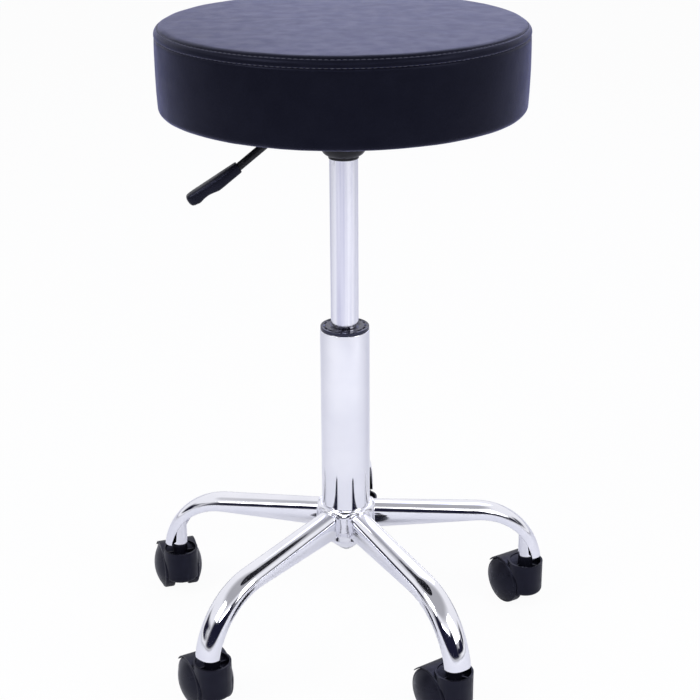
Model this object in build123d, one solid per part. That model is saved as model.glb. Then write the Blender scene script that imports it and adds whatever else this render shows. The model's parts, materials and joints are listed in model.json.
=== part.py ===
from build123d import *
import os
from math import acos, asin, atan2, cos, degrees, pi, radians, sin, tan

# Height-adjustable round stool on a five-legged chromed base with twin-wheel casters.
# Millimetres. Z is up, the floor is z = 0 and the gas lift stands on the Z axis.
# Leg 1 points along +Y and the others follow anticlockwise seen from above.

# ---- Fits -----------------------------------------------------------------------------
RUNNING = 0.05          # radial clearance of a shaft that turns or slides in its bore
SIDE_GAP = 0.3          # end float between pieces that move past each other

# ---- Base -----------------------------------------------------------------------------
LEG_COUNT = 5
FIRST_LEG_ANGLE = 90.0
STEM_CIRCLE_R = 202.5   # from the lift's axis to each caster stem
HUB_R = 28.5
HUB_HEIGHT = 28.2
HUB_TOP_Z = 151.3
HUB_BEAD = 2.2          # rounded top edge, where the weld is dressed
LEG_SHEET = 1.8
LEG_HUB_HALF_W = 12.2
LEG_TIP_HALF_W = 14.1
LEG_ARCH = 12.0         # height of the rounded back of the channel
LEG_SQUARENESS = 2.4    # superellipse exponent of the rounded back
LEG_BACK_DROP = 2.7     # back of the leg below the hub's top, at the hub
LEG_WALL_STOCK = 30.0   # walls before their lower edge is trimmed
LEG_SLOPE = 8.0         # degrees down, outward
LEG_BEND_R = 85.0
LEG_BEND_END = 83.0
LEG_BACK_OUT = 16.04    # from the stem's axis out to the back, where the bend ends
LEG_TIP_Z = 62.0
SKIRT_SLOPE = 3.0       # lower edge of the channel's walls, level with the hub's at the hub
SKIRT_BEND_R = 71.0
SKIRT_BEND_END = 78.0
SKIRT_OUT = 3.23        # from the stem's axis out to the walls' edge, where its bend ends

# ---- Casters --------------------------------------------------------------------------
CASTER_HEADINGS = (-55.0, -67.0, -55.4, -50.4, -53.4)   # axle towards stem, from +X
WHEEL_R = 25.4
WHEEL_TRAIL = 17.5
WEB_HALF_W = 8.0
WHEEL_TREAD_W = 11.2
WHEEL_DOME = 6.0
WHEEL_EDGE = 2.5
WHEEL_WALL = 2.6
WHEEL_HUB_R = 6.5
AXLE_R = 3.0
AXLE_IN_WHEEL = 13.0
AXLE_BOSS_WALL = 5.5
HOOD_GAP = 0.9          # radial room over the wheel
HOOD_WALL = 1.6
HOOD_LIP = 0.5          # the hood's edge outside the wheel's, each side
HOOD_REAR_ANGLE = 38.0  # where the hood ends behind the wheel, above the axle's level
SHOULDER_BACK = 8.0     # behind the stem, where the hood begins to narrow to the cup
CUP_R = 19.0
CUP_WALL = 2.0
CUP_BOTTOM_Z = 17.0
CUP_BOTTOM_EDGE = 5.0
CUP_RIM_DROP = 7.9      # below the leg's tip
CUP_DEPTH = 11.0
CUP_RIBS = 6
CUP_RIB_T = 1.4
CUP_RIB_DROP = 3.8      # tops of the ribs below the rim
BOSS_R = 8.0
STEM_R = 5.5
STEM_HEIGHT = 22.0
STEM_TOP_EDGE = 1.0
STEM_FLANGE_R = 8.0
STEM_FLANGE_T = 1.0
STEM_PIN_R = 4.0
STEM_PIN_DEPTH = 26.0
GRIP_RING_H = 4.0
GRIP_RING_SEAT = 0.8    # depth of the ring's groove in the stem
GRIP_RING_DROP = 4.0    # from the stem's top to the ring
GRIP_RING_SLIT = 2.0
SOCKET_BORE_R = 5.65
SOCKET_WALL = 2.6
SOCKET_HEIGHT = 50.0

# ---- Gas lift -------------------------------------------------------------------------
COLUMN_R = 25.0
COLUMN_WALL = 2.0
COLUMN_BELOW_HUB = 22.8
COLUMN_TAPER = 0.0262   # radius lost per millimetre below the hub's top
FOOT_R = 9.6            # flat end of the column's conical foot
FOOT_HEIGHT = 13.0
BUSH_FLANGE_T = 3.5
BUSH_FLANGE_INSET = 0.4
BUSH_LENGTH = 60.0
BUSH_SLOTS = 16
BUSH_SLOT_R = 20.8
BUSH_SLOT_LENGTH = 5.0
BUSH_SLOT_W = 1.4
BUSH_SLOT_DEPTH = 1.6
TUBE_R = 14.0
TUBE_WALL = 1.8
TUBE_LENGTH = 282.0
TUBE_IN_COLUMN = 75.2   # seat at its highest
TUBE_TAPER = 0.02       # radius lost per millimetre inside the seat's socket
TUBE_TAPER_LENGTH = 30.5
STROKE = 150.0
ROD_R = 5.0
ROD_NECK_R = 4.0
ROD_TAIL = 4.5          # rod below the column's foot
PISTON_LENGTH = 12.0
PISTON_GROOVE_W = 3.0
PISTON_GROOVE_DEPTH = 1.2
GLAND_LENGTH = 11.0
RACE_GAP = 0.3          # between the races' rims and the column's foot
RACE_T = 1.5
BALL_R = 1.5
BALL_COUNT = 10
BALL_CIRCLE_R = 6.3
BUFFER_R = 11.5
BUFFER_HEIGHT = 11.35
BUFFER_ROOM = 0.6       # under the tube when the seat is lowest
CLIP_R = 8.0
CLIP_T = 1.2
CLIP_GROOVE = 1.0
VALVE_LENGTH = 24.0
PIN_R = 3.0
PIN_STAND = 5.0         # valve pin above the tube
PIN_TRAVEL = 3.0
PIN_EDGE = 0.5

# ---- Seat mechanism -------------------------------------------------------------------
SOCKET_LIP_R = 14.9
SOCKET_LIP_H = 2.7
SOCKET_BOWL_R = 22.0
SOCKET_BOWL_EDGE = 9.0
SOCKET_NECK_R = 18.6
SOCKET_FLANGE_R = 25.0
SOCKET_FLANGE_T = 2.5
CHANNEL_HALF_W = 27.0
CHANNEL_INNER_END = 32.0
CHANNEL_OUTER_END = 41.0
CHANNEL_SHEET = 2.5
CHANNEL_DEPTH = 20.0    # from the lever's axis down
LEVER_TO_PLATE = 9.2    # from the lever's axis up
PLATE_LENGTH = 170.0
PLATE_WIDTH = 140.0
PLATE_T = 2.5
PLATE_CORNER = 12.0
BOLT_SPACING_X = 144.0
BOLT_SPACING_Y = 114.0
BOLT_R = 3.0
BOLT_PLAY = 0.3
BOLT_HEAD_R = 6.0
BOLT_HEAD_H = 3.5
BOLT_HEAD_EDGE = 1.8
BOLT_KEY_R = 2.3
BOLT_KEY_DEPTH = 2.0
LEVER_ANGLE = 196.9     # direction of the lever from +X, anticlockwise
LEVER_R = 4.0
LEVER_OVER_PIN = 0.3    # gap between the lever and the valve pin at rest
LEVER_PIVOT_AT = 34.0
LEVER_INNER_END = 6.0   # past the valve pin's axis
LEVER_BEND_AT = 47.0
LEVER_DROP = 37.6       # degrees
LEVER_BEND_R = 14.0
LEVER_RUN = 70.3        # from the bend's corner to the grip
LEVER_GRIP_DROP = 31.5  # degrees, slope of the grip
LEVER_IN_GRIP = 40.0
SLEEVE_R = 5.5
PIVOT_R = 2.5
PIVOT_HEAD_R = 4.2
PIVOT_HEAD_T = 1.5
# Along the grip: distance, height of the middle, half thickness, half width.
GRIP_SHAPE = (
    (0.0, 0.0, 5.4, 6.0),
    (12.0, -0.5, 6.0, 6.8),
    (25.0, -1.1, 6.7, 7.4),
    (33.0, -0.6, 6.3, 7.6),
    (39.0, -0.1, 5.8, 7.6),
    (45.0, -0.4, 6.2, 7.6),
    (51.0, -0.8, 6.8, 7.4),
    (55.0, -0.6, 6.1, 6.6),
    (57.4, -0.3, 4.2, 4.6),
    (58.2, -0.2, 1.6, 1.8),
)

# ---- Seat -----------------------------------------------------------------------------
SEAT_R = 175.6
SEAT_DEPTH = 77.6       # from the bottom to where the rounded edge meets the top
SEAT_CROWN = 3.5        # rise of the middle over the edge
SEAT_TOP_EDGE = 9.0
SEAT_LOWER_EDGE = 6.0
SEAM_DROP = 13.0        # seam below the upper edge
COVER_T = 1.6
HEM_WIDTH = 20.0
BOARD_T = 12.0
BOARD_INSET = 6.0       # foam between the board's rim and the cover
DUST_COVER_T = 1.0
DUST_COVER_ROOM = 0.2
TEE_FLANGE_R = 9.0
TEE_FLANGE_T = 1.5
TEE_BARREL_R = 4.0

# ---- Sizes worked out from the ones above ---------------------------------------------
LEG_BEND_REACH = LEG_BEND_R * (sin(radians(LEG_BEND_END)) - sin(radians(LEG_SLOPE)))
LEG_BEND_START_R = STEM_CIRCLE_R + LEG_BACK_OUT - LEG_BEND_REACH
SKIRT_REACH = SKIRT_BEND_R * (sin(radians(SKIRT_BEND_END)) - sin(radians(SKIRT_SLOPE)))
SKIRT_BEND_START_R = STEM_CIRCLE_R + SKIRT_OUT - SKIRT_REACH
SKIRT_HUB_Z = HUB_TOP_Z - HUB_HEIGHT
AXLE_Z = WHEEL_R
WHEEL_IN = WEB_HALF_W + SIDE_GAP
WHEEL_OUT = WHEEL_IN + WHEEL_TREAD_W
HOOD_HALF_W = WHEEL_OUT + HOOD_LIP
HOOD_IN_R = WHEEL_R + HOOD_GAP
HOOD_R = HOOD_IN_R + HOOD_WALL
CUP_RIM_Z = LEG_TIP_Z - CUP_RIM_DROP
CUP_FLOOR_Z = CUP_RIM_Z - CUP_DEPTH
CUP_RIB_TOP_Z = CUP_RIM_Z - CUP_RIB_DROP
SOCKET_R = SOCKET_BORE_R + SOCKET_WALL
STEM_TOP_Z = LEG_TIP_Z + STEM_HEIGHT
RING_TOP_Z = STEM_TOP_Z - GRIP_RING_DROP
FLANGE_BOTTOM_Z = LEG_TIP_Z - STEM_FLANGE_T
PIN_BOTTOM_Z = FLANGE_BOTTOM_Z - STEM_PIN_DEPTH
BOSS_TOP_Z = FLANGE_BOTTOM_Z - SIDE_GAP
COLUMN_BOTTOM_Z = SKIRT_HUB_Z - COLUMN_BELOW_HUB
COLUMN_IN_R = COLUMN_R - COLUMN_WALL
FLOOR_Z = COLUMN_BOTTOM_Z + COLUMN_WALL
BEARING_Z = FLOOR_Z + RUNNING
BEARING_TOP_Z = BEARING_Z + 2 * RACE_T + 2 * BALL_R
BUFFER_TOP_Z = BEARING_TOP_Z + BUFFER_HEIGHT
TUBE_IN_R = TUBE_R - TUBE_WALL
TUBE_BOTTOM_Z = BUFFER_TOP_Z + BUFFER_ROOM + STROKE
TUBE_TOP_Z = TUBE_BOTTOM_Z + TUBE_LENGTH
COLUMN_TOP_Z = TUBE_BOTTOM_Z + TUBE_IN_COLUMN
BUSH_TOP_Z = COLUMN_TOP_Z + BUSH_FLANGE_T
GLAND_TOP_Z = TUBE_BOTTOM_Z + GLAND_LENGTH
PISTON_Z = GLAND_TOP_Z + SIDE_GAP
ROD_TOP_Z = PISTON_Z + PISTON_LENGTH
CLIP_TOP_Z = COLUMN_BOTTOM_Z - SIDE_GAP
SOCKET_LIP_Z = TUBE_TOP_Z - TUBE_TAPER_LENGTH
VALVE_Z = TUBE_TOP_Z - VALVE_LENGTH
PIN_TOP_Z = TUBE_TOP_Z + PIN_STAND
LEVER_Z = PIN_TOP_Z + LEVER_OVER_PIN + LEVER_R
CHANNEL_BOTTOM_Z = LEVER_Z - CHANNEL_DEPTH
CHANNEL_IN_HALF_W = CHANNEL_HALF_W - CHANNEL_SHEET
BOWL_Z = SOCKET_LIP_Z + SOCKET_LIP_H
PLATE_BOTTOM_Z = LEVER_Z + LEVER_TO_PLATE
PLATE_TOP_Z = PLATE_BOTTOM_Z + PLATE_T
HEM_TOP_Z = PLATE_TOP_Z + DUST_COVER_T
BOARD_TOP_Z = HEM_TOP_Z + BOARD_T
BOARD_R = SEAT_R - COVER_T - BOARD_INSET
SEAT_BOTTOM_Z = HEM_TOP_Z - COVER_T
SEAT_EDGE_Z = SEAT_BOTTOM_Z + SEAT_DEPTH
HEM_R = SEAT_R - SEAT_LOWER_EDGE - HEM_WIDTH
SEAM_Z = SEAT_EDGE_Z - SEAM_DROP
FAR = 2 * SEAT_EDGE_Z


# ---- Small helpers --------------------------------------------------------------------
def disc(radius, bottom, top):
    """An upright cylinder on the Z axis between two heights."""
    return Pos(0, 0, (bottom + top) / 2) * Cylinder(radius, top - bottom)


def ring(outer, inner, bottom, top):
    return disc(outer, bottom, top) - disc(inner, bottom - 1, top + 1)


def side_disc(radius, near, far):
    """A cylinder about the Y axis between two distances along Y."""
    return Pos(0, (near + far) / 2, 0) * Rot(90, 0, 0) * Cylinder(radius, far - near)


def cross_pin(radius, half_length):
    return side_disc(radius, -half_length, half_length)


def face_of(*curves):
    return make_face(Curve() + list(curves))


def turned(*curves):
    """Revolve a closed outline about Z; it is drawn as (radius, height)."""
    return revolve(Plane.XZ * face_of(*curves), Axis.Z)


def turned_polygon(*points):
    return turned(Polyline(*points, close=True))


def slab(half_width, *curves):
    """A closed outline drawn as (x, z), given half_width to each side along Y."""
    return extrude(Plane.XZ * face_of(*curves), half_width, both=True)


def polygon_slab(half_width, *points):
    return slab(half_width, Polyline(*points, close=True))


def dome(radius, base, rise):
    """Arc from (radius, base) up to the axis at base + rise."""
    arc_r = (radius**2 + rise**2) / (2 * rise)
    start = degrees(asin((arc_r - rise) / arc_r))
    return CenterArc((0, base + rise - arc_r), arc_r, start, 90 - start)


def around(piece, count, start=0.0):
    return [Rot(0, 0, start + 360 * i / count) * piece for i in range(count)]


def group(pieces):
    return Compound([solid for piece in pieces for solid in piece.solids()])


def leg_turn(index):
    return Rot(0, 0, FIRST_LEG_ANGLE + index * 360 / LEG_COUNT)


def at_stem(piece):
    return Pos(STEM_CIRCLE_R, 0, 0) * piece


def under_leg(piece, index):
    """From a caster's own frame, +X ahead, to its place and heading under a leg."""
    stem = (leg_turn(index) * Pos(STEM_CIRCLE_R, 0, 0)).position
    return Pos(stem.X, stem.Y, 0) * Rot(0, 0, CASTER_HEADINGS[index]) * piece


def at_axle(piece):
    return Pos(-WHEEL_TRAIL, 0, AXLE_Z) * piece


def on_lever_side(piece):
    return Rot(0, 0, LEVER_ANGLE) * piece


def column_r(z):
    """Outer radius of the column: straight above the hub, tapered inside it."""
    return COLUMN_R - COLUMN_TAPER * max(0.0, HUB_TOP_Z - z)


# ---- Base -----------------------------------------------------------------------------
def hub_sleeve():
    bottom = HUB_TOP_Z - HUB_HEIGHT
    bead = CenterArc((HUB_R - HUB_BEAD, HUB_TOP_Z - HUB_BEAD), HUB_BEAD, 0, 90)
    rest = Polyline(
        bead @ 1, (COLUMN_R, HUB_TOP_Z), (column_r(bottom), bottom), (HUB_R, bottom), bead @ 0
    )
    return turned(bead, rest)


def back_curve(half_w, arch):
    """Superellipse arch over the walls; its ends stand LEG_ARCH below the back."""
    power = 2 / LEG_SQUARENESS
    points = []
    for step in range(-4, 5):
        turn = radians(22.5 * step)
        side = 1 if step > 0 else -1
        rise = max(cos(turn), 0.0) ** power
        points.append((side * half_w * abs(sin(turn)) ** power, arch * rise - LEG_ARCH))
    return Spline(*points, tangents=((0, 1), (0, -1)))


def leg_section(radius, height, slope, half_w):
    """The channel's sheet cut across: back on the leg's line, walls running down."""
    outer = back_curve(half_w, LEG_ARCH)
    inner = back_curve(half_w - LEG_SHEET, LEG_ARCH - LEG_SHEET)
    low = -LEG_WALL_STOCK
    right = Polyline(outer @ 1, (half_w, low), (half_w - LEG_SHEET, low), inner @ 1)
    left = Polyline(outer @ 0, (-half_w, low), (LEG_SHEET - half_w, low), inner @ 0)
    plane = Plane((radius, 0, height), x_dir=(0, 1, 0), z_dir=(cos(slope), 0, -sin(slope)))
    return plane * face_of(outer, right, inner, left)


def below_skirt():
    """What lies under the lower edge of the channel's walls."""
    slope = tan(radians(SKIRT_SLOPE))
    start = (0, SKIRT_HUB_Z + HUB_R * slope)
    bend = (SKIRT_BEND_START_R, SKIRT_HUB_Z - (SKIRT_BEND_START_R - HUB_R) * slope)
    run = Line(start, bend)
    curve = JernArc(bend, run % 1, SKIRT_BEND_R, SKIRT_SLOPE - SKIRT_BEND_END)
    tip = curve @ 1 + (curve % 1) * LEG_TIP_Z
    rest = Polyline(curve @ 1, tip, (0, tip.Y), start)
    return slab(2 * LEG_TIP_HALF_W, run, curve, rest)


def leg():
    """A pressed channel, open underneath, along +X: straight run, bend and tip."""
    slope = radians(LEG_SLOPE)
    start_r = HUB_R - LEG_HUB_HALF_W
    hub_z = HUB_TOP_Z - LEG_BACK_DROP
    bend_z = hub_z - (LEG_BEND_START_R - HUB_R) * tan(slope)
    start_z = hub_z + (HUB_R - start_r) * tan(slope)
    start = leg_section(start_r, start_z, slope, LEG_HUB_HALF_W)
    bend = leg_section(LEG_BEND_START_R, bend_z, slope, LEG_TIP_HALF_W)
    centre = (LEG_BEND_START_R - LEG_BEND_R * sin(slope), 0, bend_z - LEG_BEND_R * cos(slope))
    turn = LEG_BEND_END - LEG_SLOPE
    curved = revolve(bend, Axis(centre, (0, 1, 0)), turn)
    end = Pos(*centre) * Rot(0, turn, 0) * Pos(-centre[0], 0, -centre[2]) * bend
    down = radians(LEG_BEND_END)
    tip = extrude(end, LEG_TIP_Z, dir=(cos(down), 0, -sin(down)))
    shell = loft([start, bend], ruled=True) + curved + tip
    return shell - below_skirt() - disc(HUB_R, 0, FAR) - disc(2 * STEM_CIRCLE_R, -FAR, LEG_TIP_Z)


def caster_socket(shell):
    """A tube on the stem's axis that ends against the inside of the leg's back."""
    tube = at_stem(ring(SOCKET_R, SOCKET_BORE_R, LEG_TIP_Z, LEG_TIP_Z + SOCKET_HEIGHT))
    return (tube - shell).solids().sort_by(Axis.Z)[0]


# ---- Casters, each in its own frame: stem on the Z axis, +X ahead ----------------------
def caster_stem():
    stem = disc(STEM_R, LEG_TIP_Z, STEM_TOP_Z)
    stem = chamfer(stem.edges().sort_by(Axis.Z)[-1], STEM_TOP_EDGE)
    stem -= ring(2 * STEM_R, STEM_R - GRIP_RING_SEAT, RING_TOP_Z - GRIP_RING_H, RING_TOP_Z)
    flange = disc(STEM_FLANGE_R, FLANGE_BOTTOM_Z, LEG_TIP_Z)
    return stem + flange + disc(STEM_PIN_R, PIN_BOTTOM_Z, FLANGE_BOTTOM_Z)


def grip_ring():
    band = ring(SOCKET_BORE_R, STEM_R - GRIP_RING_SEAT, RING_TOP_Z - GRIP_RING_H, RING_TOP_Z)
    return band - Pos(STEM_R, 0, RING_TOP_Z) * Box(2 * STEM_R, GRIP_RING_SLIT, 3 * GRIP_RING_H)


def hood():
    """Cylinder over both wheels, cut away low in front and behind the axle."""
    low = CUP_BOTTOM_Z - AXLE_Z
    rear_z = 2 * HOOD_R * tan(radians(HOOD_REAR_ANGLE))
    behind = ((0, 0), (-2 * HOOD_R, rear_z), (-2 * HOOD_R, -2 * HOOD_R), (0, -2 * HOOD_R))
    ahead = ((0, low), (2 * HOOD_R, low), (2 * HOOD_R, -2 * HOOD_R), (0, -2 * HOOD_R))
    body = cross_pin(HOOD_R, HOOD_HALF_W)
    body -= polygon_slab(2 * HOOD_HALF_W, *behind)
    return body - polygon_slab(2 * HOOD_HALF_W, *ahead)


def hood_plan():
    """Upright body as wide as the hood behind, narrowing to the cup in front."""
    back = -2 * HOOD_R - WHEEL_TRAIL
    outline = Polyline(
        (back, -HOOD_HALF_W),
        (-SHOULDER_BACK, -HOOD_HALF_W),
        (0, -CUP_R),
        (0, CUP_R),
        (-SHOULDER_BACK, HOOD_HALF_W),
        (back, HOOD_HALF_W),
        close=True,
    )
    return extrude(make_face(outline), 2 * CUP_RIM_Z) + disc(CUP_R, 0, 2 * CUP_RIM_Z)


def cup_hollow():
    """The open cup round the stem, with ribs left standing in it."""
    hollow = disc(CUP_R - CUP_WALL, CUP_FLOOR_Z, CUP_RIM_Z + HOOD_R)
    hollow -= at_axle(cross_pin(HOOD_R, 2 * CUP_R))
    height = 2 * (CUP_RIB_TOP_Z - CUP_FLOOR_Z)
    rib = Pos(CUP_R / 2, 0, CUP_FLOOR_Z) * Box(CUP_R, CUP_RIB_T, height)
    for copy in around(rib, CUP_RIBS, 180 / CUP_RIBS):
        hollow -= copy
    return hollow


def caster_housing():
    """Barrel in front, hood over both wheels, and the web that carries the axle."""
    barrel = disc(CUP_R, CUP_BOTTOM_Z, CUP_RIM_Z)
    barrel = fillet(barrel.edges().sort_by(Axis.Z)[0], CUP_BOTTOM_EDGE)
    body = barrel + (at_axle(hood()) & hood_plan())
    body += at_axle(cross_pin(AXLE_R + AXLE_BOSS_WALL, WEB_HALF_W))
    body -= at_axle(side_disc(HOOD_IN_R, WEB_HALF_W, 2 * HOOD_HALF_W))
    body -= at_axle(side_disc(HOOD_IN_R, -2 * HOOD_HALF_W, -WEB_HALF_W))
    body -= cup_hollow()
    body += disc(BOSS_R, CUP_FLOOR_Z, BOSS_TOP_Z)
    body -= disc(STEM_PIN_R + RUNNING, PIN_BOTTOM_Z - SIDE_GAP, FLANGE_BOTTOM_Z)
    return body - at_axle(cross_pin(AXLE_R, HOOD_HALF_W))


def caster_axle():
    return at_axle(cross_pin(AXLE_R, WHEEL_IN + AXLE_IN_WHEEL))


def wheel(side):
    """Moulded wheel: tread, domed outer face, a hollow behind it and a hub on the axle."""
    bore_end = WHEEL_IN + AXLE_IN_WHEEL + SIDE_GAP
    edge = CenterArc((WHEEL_R - WHEEL_EDGE, WHEEL_OUT - WHEEL_EDGE), WHEEL_EDGE, 0, 90)
    face = dome(WHEEL_R - WHEEL_EDGE, WHEEL_OUT, WHEEL_DOME)
    rest = Polyline(
        face @ 1,
        (0, bore_end),
        (AXLE_R + RUNNING, bore_end),
        (AXLE_R + RUNNING, WHEEL_IN),
        (WHEEL_R, WHEEL_IN),
        edge @ 0,
    )
    body = turned(edge, face, rest)
    body -= ring(WHEEL_R - WHEEL_WALL, WHEEL_HUB_R, WHEEL_IN - 1, WHEEL_OUT - WHEEL_WALL)
    return at_axle(Rot(-90 * side, 0, 0) * body)


# ---- Gas lift -------------------------------------------------------------------------
def foot_rise():
    """Slope of the column's conical foot, in radians from level."""
    return atan2(FOOT_HEIGHT, column_r(COLUMN_BOTTOM_Z + FOOT_HEIGHT) - FOOT_R)


def floor_r():
    """Flat floor inside the column's foot; the wall is as thick in the cone as elsewhere."""
    return FOOT_R - COLUMN_WALL * tan(foot_rise() / 2)


def column_tube():
    """Straight tube, drawn in below the hub's top and coned to a flat foot with the rod's hole."""
    cone_z = COLUMN_BOTTOM_Z + FOOT_HEIGHT
    cone_r = column_r(cone_z)
    cone_in_z = cone_z + COLUMN_WALL * tan(pi / 4 - foot_rise() / 2)
    hole = ROD_NECK_R + RUNNING
    return turned_polygon(
        (hole, COLUMN_BOTTOM_Z),
        (FOOT_R, COLUMN_BOTTOM_Z),
        (cone_r, cone_z),
        (COLUMN_R, HUB_TOP_Z),
        (COLUMN_R, COLUMN_TOP_Z),
        (COLUMN_IN_R, COLUMN_TOP_Z),
        (COLUMN_IN_R, HUB_TOP_Z),
        (cone_r - COLUMN_WALL, cone_in_z),
        (floor_r(), FLOOR_Z),
        (hole, FLOOR_Z),
    )


def guide_bush():
    bore = TUBE_R + RUNNING
    bush = ring(COLUMN_IN_R, bore, COLUMN_TOP_Z - BUSH_LENGTH, COLUMN_TOP_Z)
    bush += ring(COLUMN_R - BUSH_FLANGE_INSET, bore, COLUMN_TOP_Z, BUSH_TOP_Z)
    slot = Pos(BUSH_SLOT_R, 0, BUSH_TOP_Z) * Box(BUSH_SLOT_W, BUSH_SLOT_LENGTH, 2 * BUSH_SLOT_DEPTH)
    for cut in around(slot, BUSH_SLOTS):
        bush -= cut
    return bush


def pressure_tube():
    return turned_polygon(
        (TUBE_IN_R, TUBE_BOTTOM_Z),
        (TUBE_R, TUBE_BOTTOM_Z),
        (TUBE_R, SOCKET_LIP_Z),
        (TUBE_R - TUBE_TAPER * TUBE_TAPER_LENGTH, TUBE_TOP_Z),
        (TUBE_IN_R, TUBE_TOP_Z),
    )


def rod_gland():
    return ring(TUBE_IN_R, ROD_R + RUNNING, TUBE_BOTTOM_Z, GLAND_TOP_Z)


def valve_body():
    return ring(TUBE_IN_R, PIN_R + RUNNING, VALVE_Z, TUBE_TOP_Z)


def valve_pin():
    pin = disc(PIN_R, VALVE_Z + PIN_TRAVEL, PIN_TOP_Z)
    return chamfer(pin.edges().sort_by(Axis.Z)[-1], PIN_EDGE)


def piston_rod():
    neck = disc(ROD_NECK_R, COLUMN_BOTTOM_Z - ROD_TAIL, BEARING_TOP_Z)
    neck -= ring(2 * ROD_NECK_R, ROD_NECK_R - CLIP_GROOVE, CLIP_TOP_Z - CLIP_T, CLIP_TOP_Z)
    return neck + disc(ROD_R, BEARING_TOP_Z, ROD_TOP_Z)


def piston():
    body = ring(TUBE_IN_R - RUNNING, ROD_R, PISTON_Z, ROD_TOP_Z)
    middle = (PISTON_Z + ROD_TOP_Z) / 2
    half = PISTON_GROOVE_W / 2
    return body - ring(TUBE_R, TUBE_IN_R - PISTON_GROOVE_DEPTH, middle - half, middle + half)


def thrust_bearing():
    race_r = floor_r() - RACE_GAP
    lower = ring(race_r, ROD_NECK_R, BEARING_Z, BEARING_Z + RACE_T)
    upper = ring(race_r, ROD_NECK_R, BEARING_TOP_Z - RACE_T, BEARING_TOP_Z)
    ball = Pos(BALL_CIRCLE_R, 0, BEARING_Z + RACE_T + BALL_R) * Sphere(BALL_R)
    return group([lower, upper, *around(ball, BALL_COUNT)])


def rubber_buffer():
    return ring(BUFFER_R, ROD_R, BEARING_TOP_Z, BUFFER_TOP_Z)


def rod_clip():
    seat_r = ROD_NECK_R - CLIP_GROOVE
    washer = ring(CLIP_R, seat_r, CLIP_TOP_Z - CLIP_T, CLIP_TOP_Z)
    return washer - Pos(CLIP_R / 2, 0, CLIP_TOP_Z) * Box(CLIP_R, 2 * seat_r, 3 * CLIP_T)


# ---- Seat mechanism, in a frame whose +X is the lever's direction ----------------------
def taper_socket():
    """Lipped bowl bored to the lift's taper; its neck stands in the channel's floor."""
    centre_r = SOCKET_BOWL_R - SOCKET_BOWL_EDGE
    start = acos((SOCKET_LIP_R - centre_r) / SOCKET_BOWL_EDGE)
    centre = (centre_r, BOWL_Z + SOCKET_BOWL_EDGE * sin(start))
    bowl = CenterArc(centre, SOCKET_BOWL_EDGE, -degrees(start), degrees(start))
    top = TUBE_TOP_Z - SIDE_GAP
    rest = Polyline(
        bowl @ 1,
        (SOCKET_BOWL_R, CHANNEL_BOTTOM_Z - SOCKET_FLANGE_T),
        (SOCKET_FLANGE_R, CHANNEL_BOTTOM_Z - SOCKET_FLANGE_T),
        (SOCKET_FLANGE_R, CHANNEL_BOTTOM_Z),
        (SOCKET_NECK_R, CHANNEL_BOTTOM_Z),
        (SOCKET_NECK_R, top),
        (TUBE_R - TUBE_TAPER * (top - SOCKET_LIP_Z), top),
        (TUBE_R, SOCKET_LIP_Z),
        (SOCKET_LIP_R, SOCKET_LIP_Z),
        bowl @ 0,
    )
    return turned(bowl, rest)


def bolt_places():
    x = BOLT_SPACING_X / 2
    y = BOLT_SPACING_Y / 2
    return [Pos(-x, -y, 0), Pos(x, -y, 0), Pos(x, y, 0), Pos(-x, y, 0)]


def channel_box(half_width, floor_z):
    return polygon_slab(
        half_width,
        (-CHANNEL_INNER_END, floor_z),
        (CHANNEL_OUTER_END, floor_z),
        (CHANNEL_OUTER_END, PLATE_BOTTOM_Z),
        (-CHANNEL_INNER_END, PLATE_BOTTOM_Z),
    )


def mounting_plate():
    """Flat plate with a channel under it that holds the socket and the lever's pivot."""
    sheet = RectangleRounded(PLATE_LENGTH, PLATE_WIDTH, PLATE_CORNER)
    plate = Pos(0, 0, PLATE_BOTTOM_Z) * extrude(sheet, PLATE_T)
    for place in bolt_places():
        plate -= place * disc(BOLT_R + BOLT_PLAY, 0, FAR)
    channel = channel_box(CHANNEL_HALF_W, CHANNEL_BOTTOM_Z)
    channel -= channel_box(CHANNEL_IN_HALF_W, CHANNEL_BOTTOM_Z + CHANNEL_SHEET)
    channel -= disc(SOCKET_NECK_R, 0, LEVER_Z)
    channel -= Pos(LEVER_PIVOT_AT, 0, LEVER_Z) * cross_pin(PIVOT_R, 2 * CHANNEL_HALF_W)
    return on_lever_side(plate + channel)


def lever_points():
    """Corners of the lever's centre line: inner end, bend, grip, end inside the grip."""
    bend = (LEVER_BEND_AT, LEVER_Z)
    drop = radians(LEVER_DROP)
    grip = (bend[0] + LEVER_RUN * cos(drop), bend[1] - LEVER_RUN * sin(drop))
    drop = radians(LEVER_GRIP_DROP)
    end = (grip[0] + LEVER_IN_GRIP * cos(drop), grip[1] - LEVER_IN_GRIP * sin(drop))
    return [(-LEVER_INNER_END, LEVER_Z), bend, grip, end]


def lever_blank():
    points = [(x, 0, z) for x, z in lever_points()]
    path = FilletPolyline(*points, radius=LEVER_BEND_R)
    return sweep(Plane(points[0], x_dir=(0, 1, 0), z_dir=(1, 0, 0)) * Circle(LEVER_R), path)


def lever_rod():
    """Bent rod with a sleeve welded across it for the pivot."""
    pivot = Pos(LEVER_PIVOT_AT, 0, LEVER_Z)
    rod = lever_blank() + pivot * cross_pin(SLEEVE_R, CHANNEL_IN_HALF_W - SIDE_GAP)
    return on_lever_side(rod - pivot * cross_pin(PIVOT_R + RUNNING, CHANNEL_HALF_W))


def lever_pivot():
    """Riveted pin across the channel."""
    pin = cross_pin(PIVOT_R, CHANNEL_HALF_W)
    pin += side_disc(PIVOT_HEAD_R, CHANNEL_HALF_W, CHANNEL_HALF_W + PIVOT_HEAD_T)
    pin += side_disc(PIVOT_HEAD_R, -CHANNEL_HALF_W - PIVOT_HEAD_T, -CHANNEL_HALF_W)
    return on_lever_side(Pos(LEVER_PIVOT_AT, 0, LEVER_Z) * pin)


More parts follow.
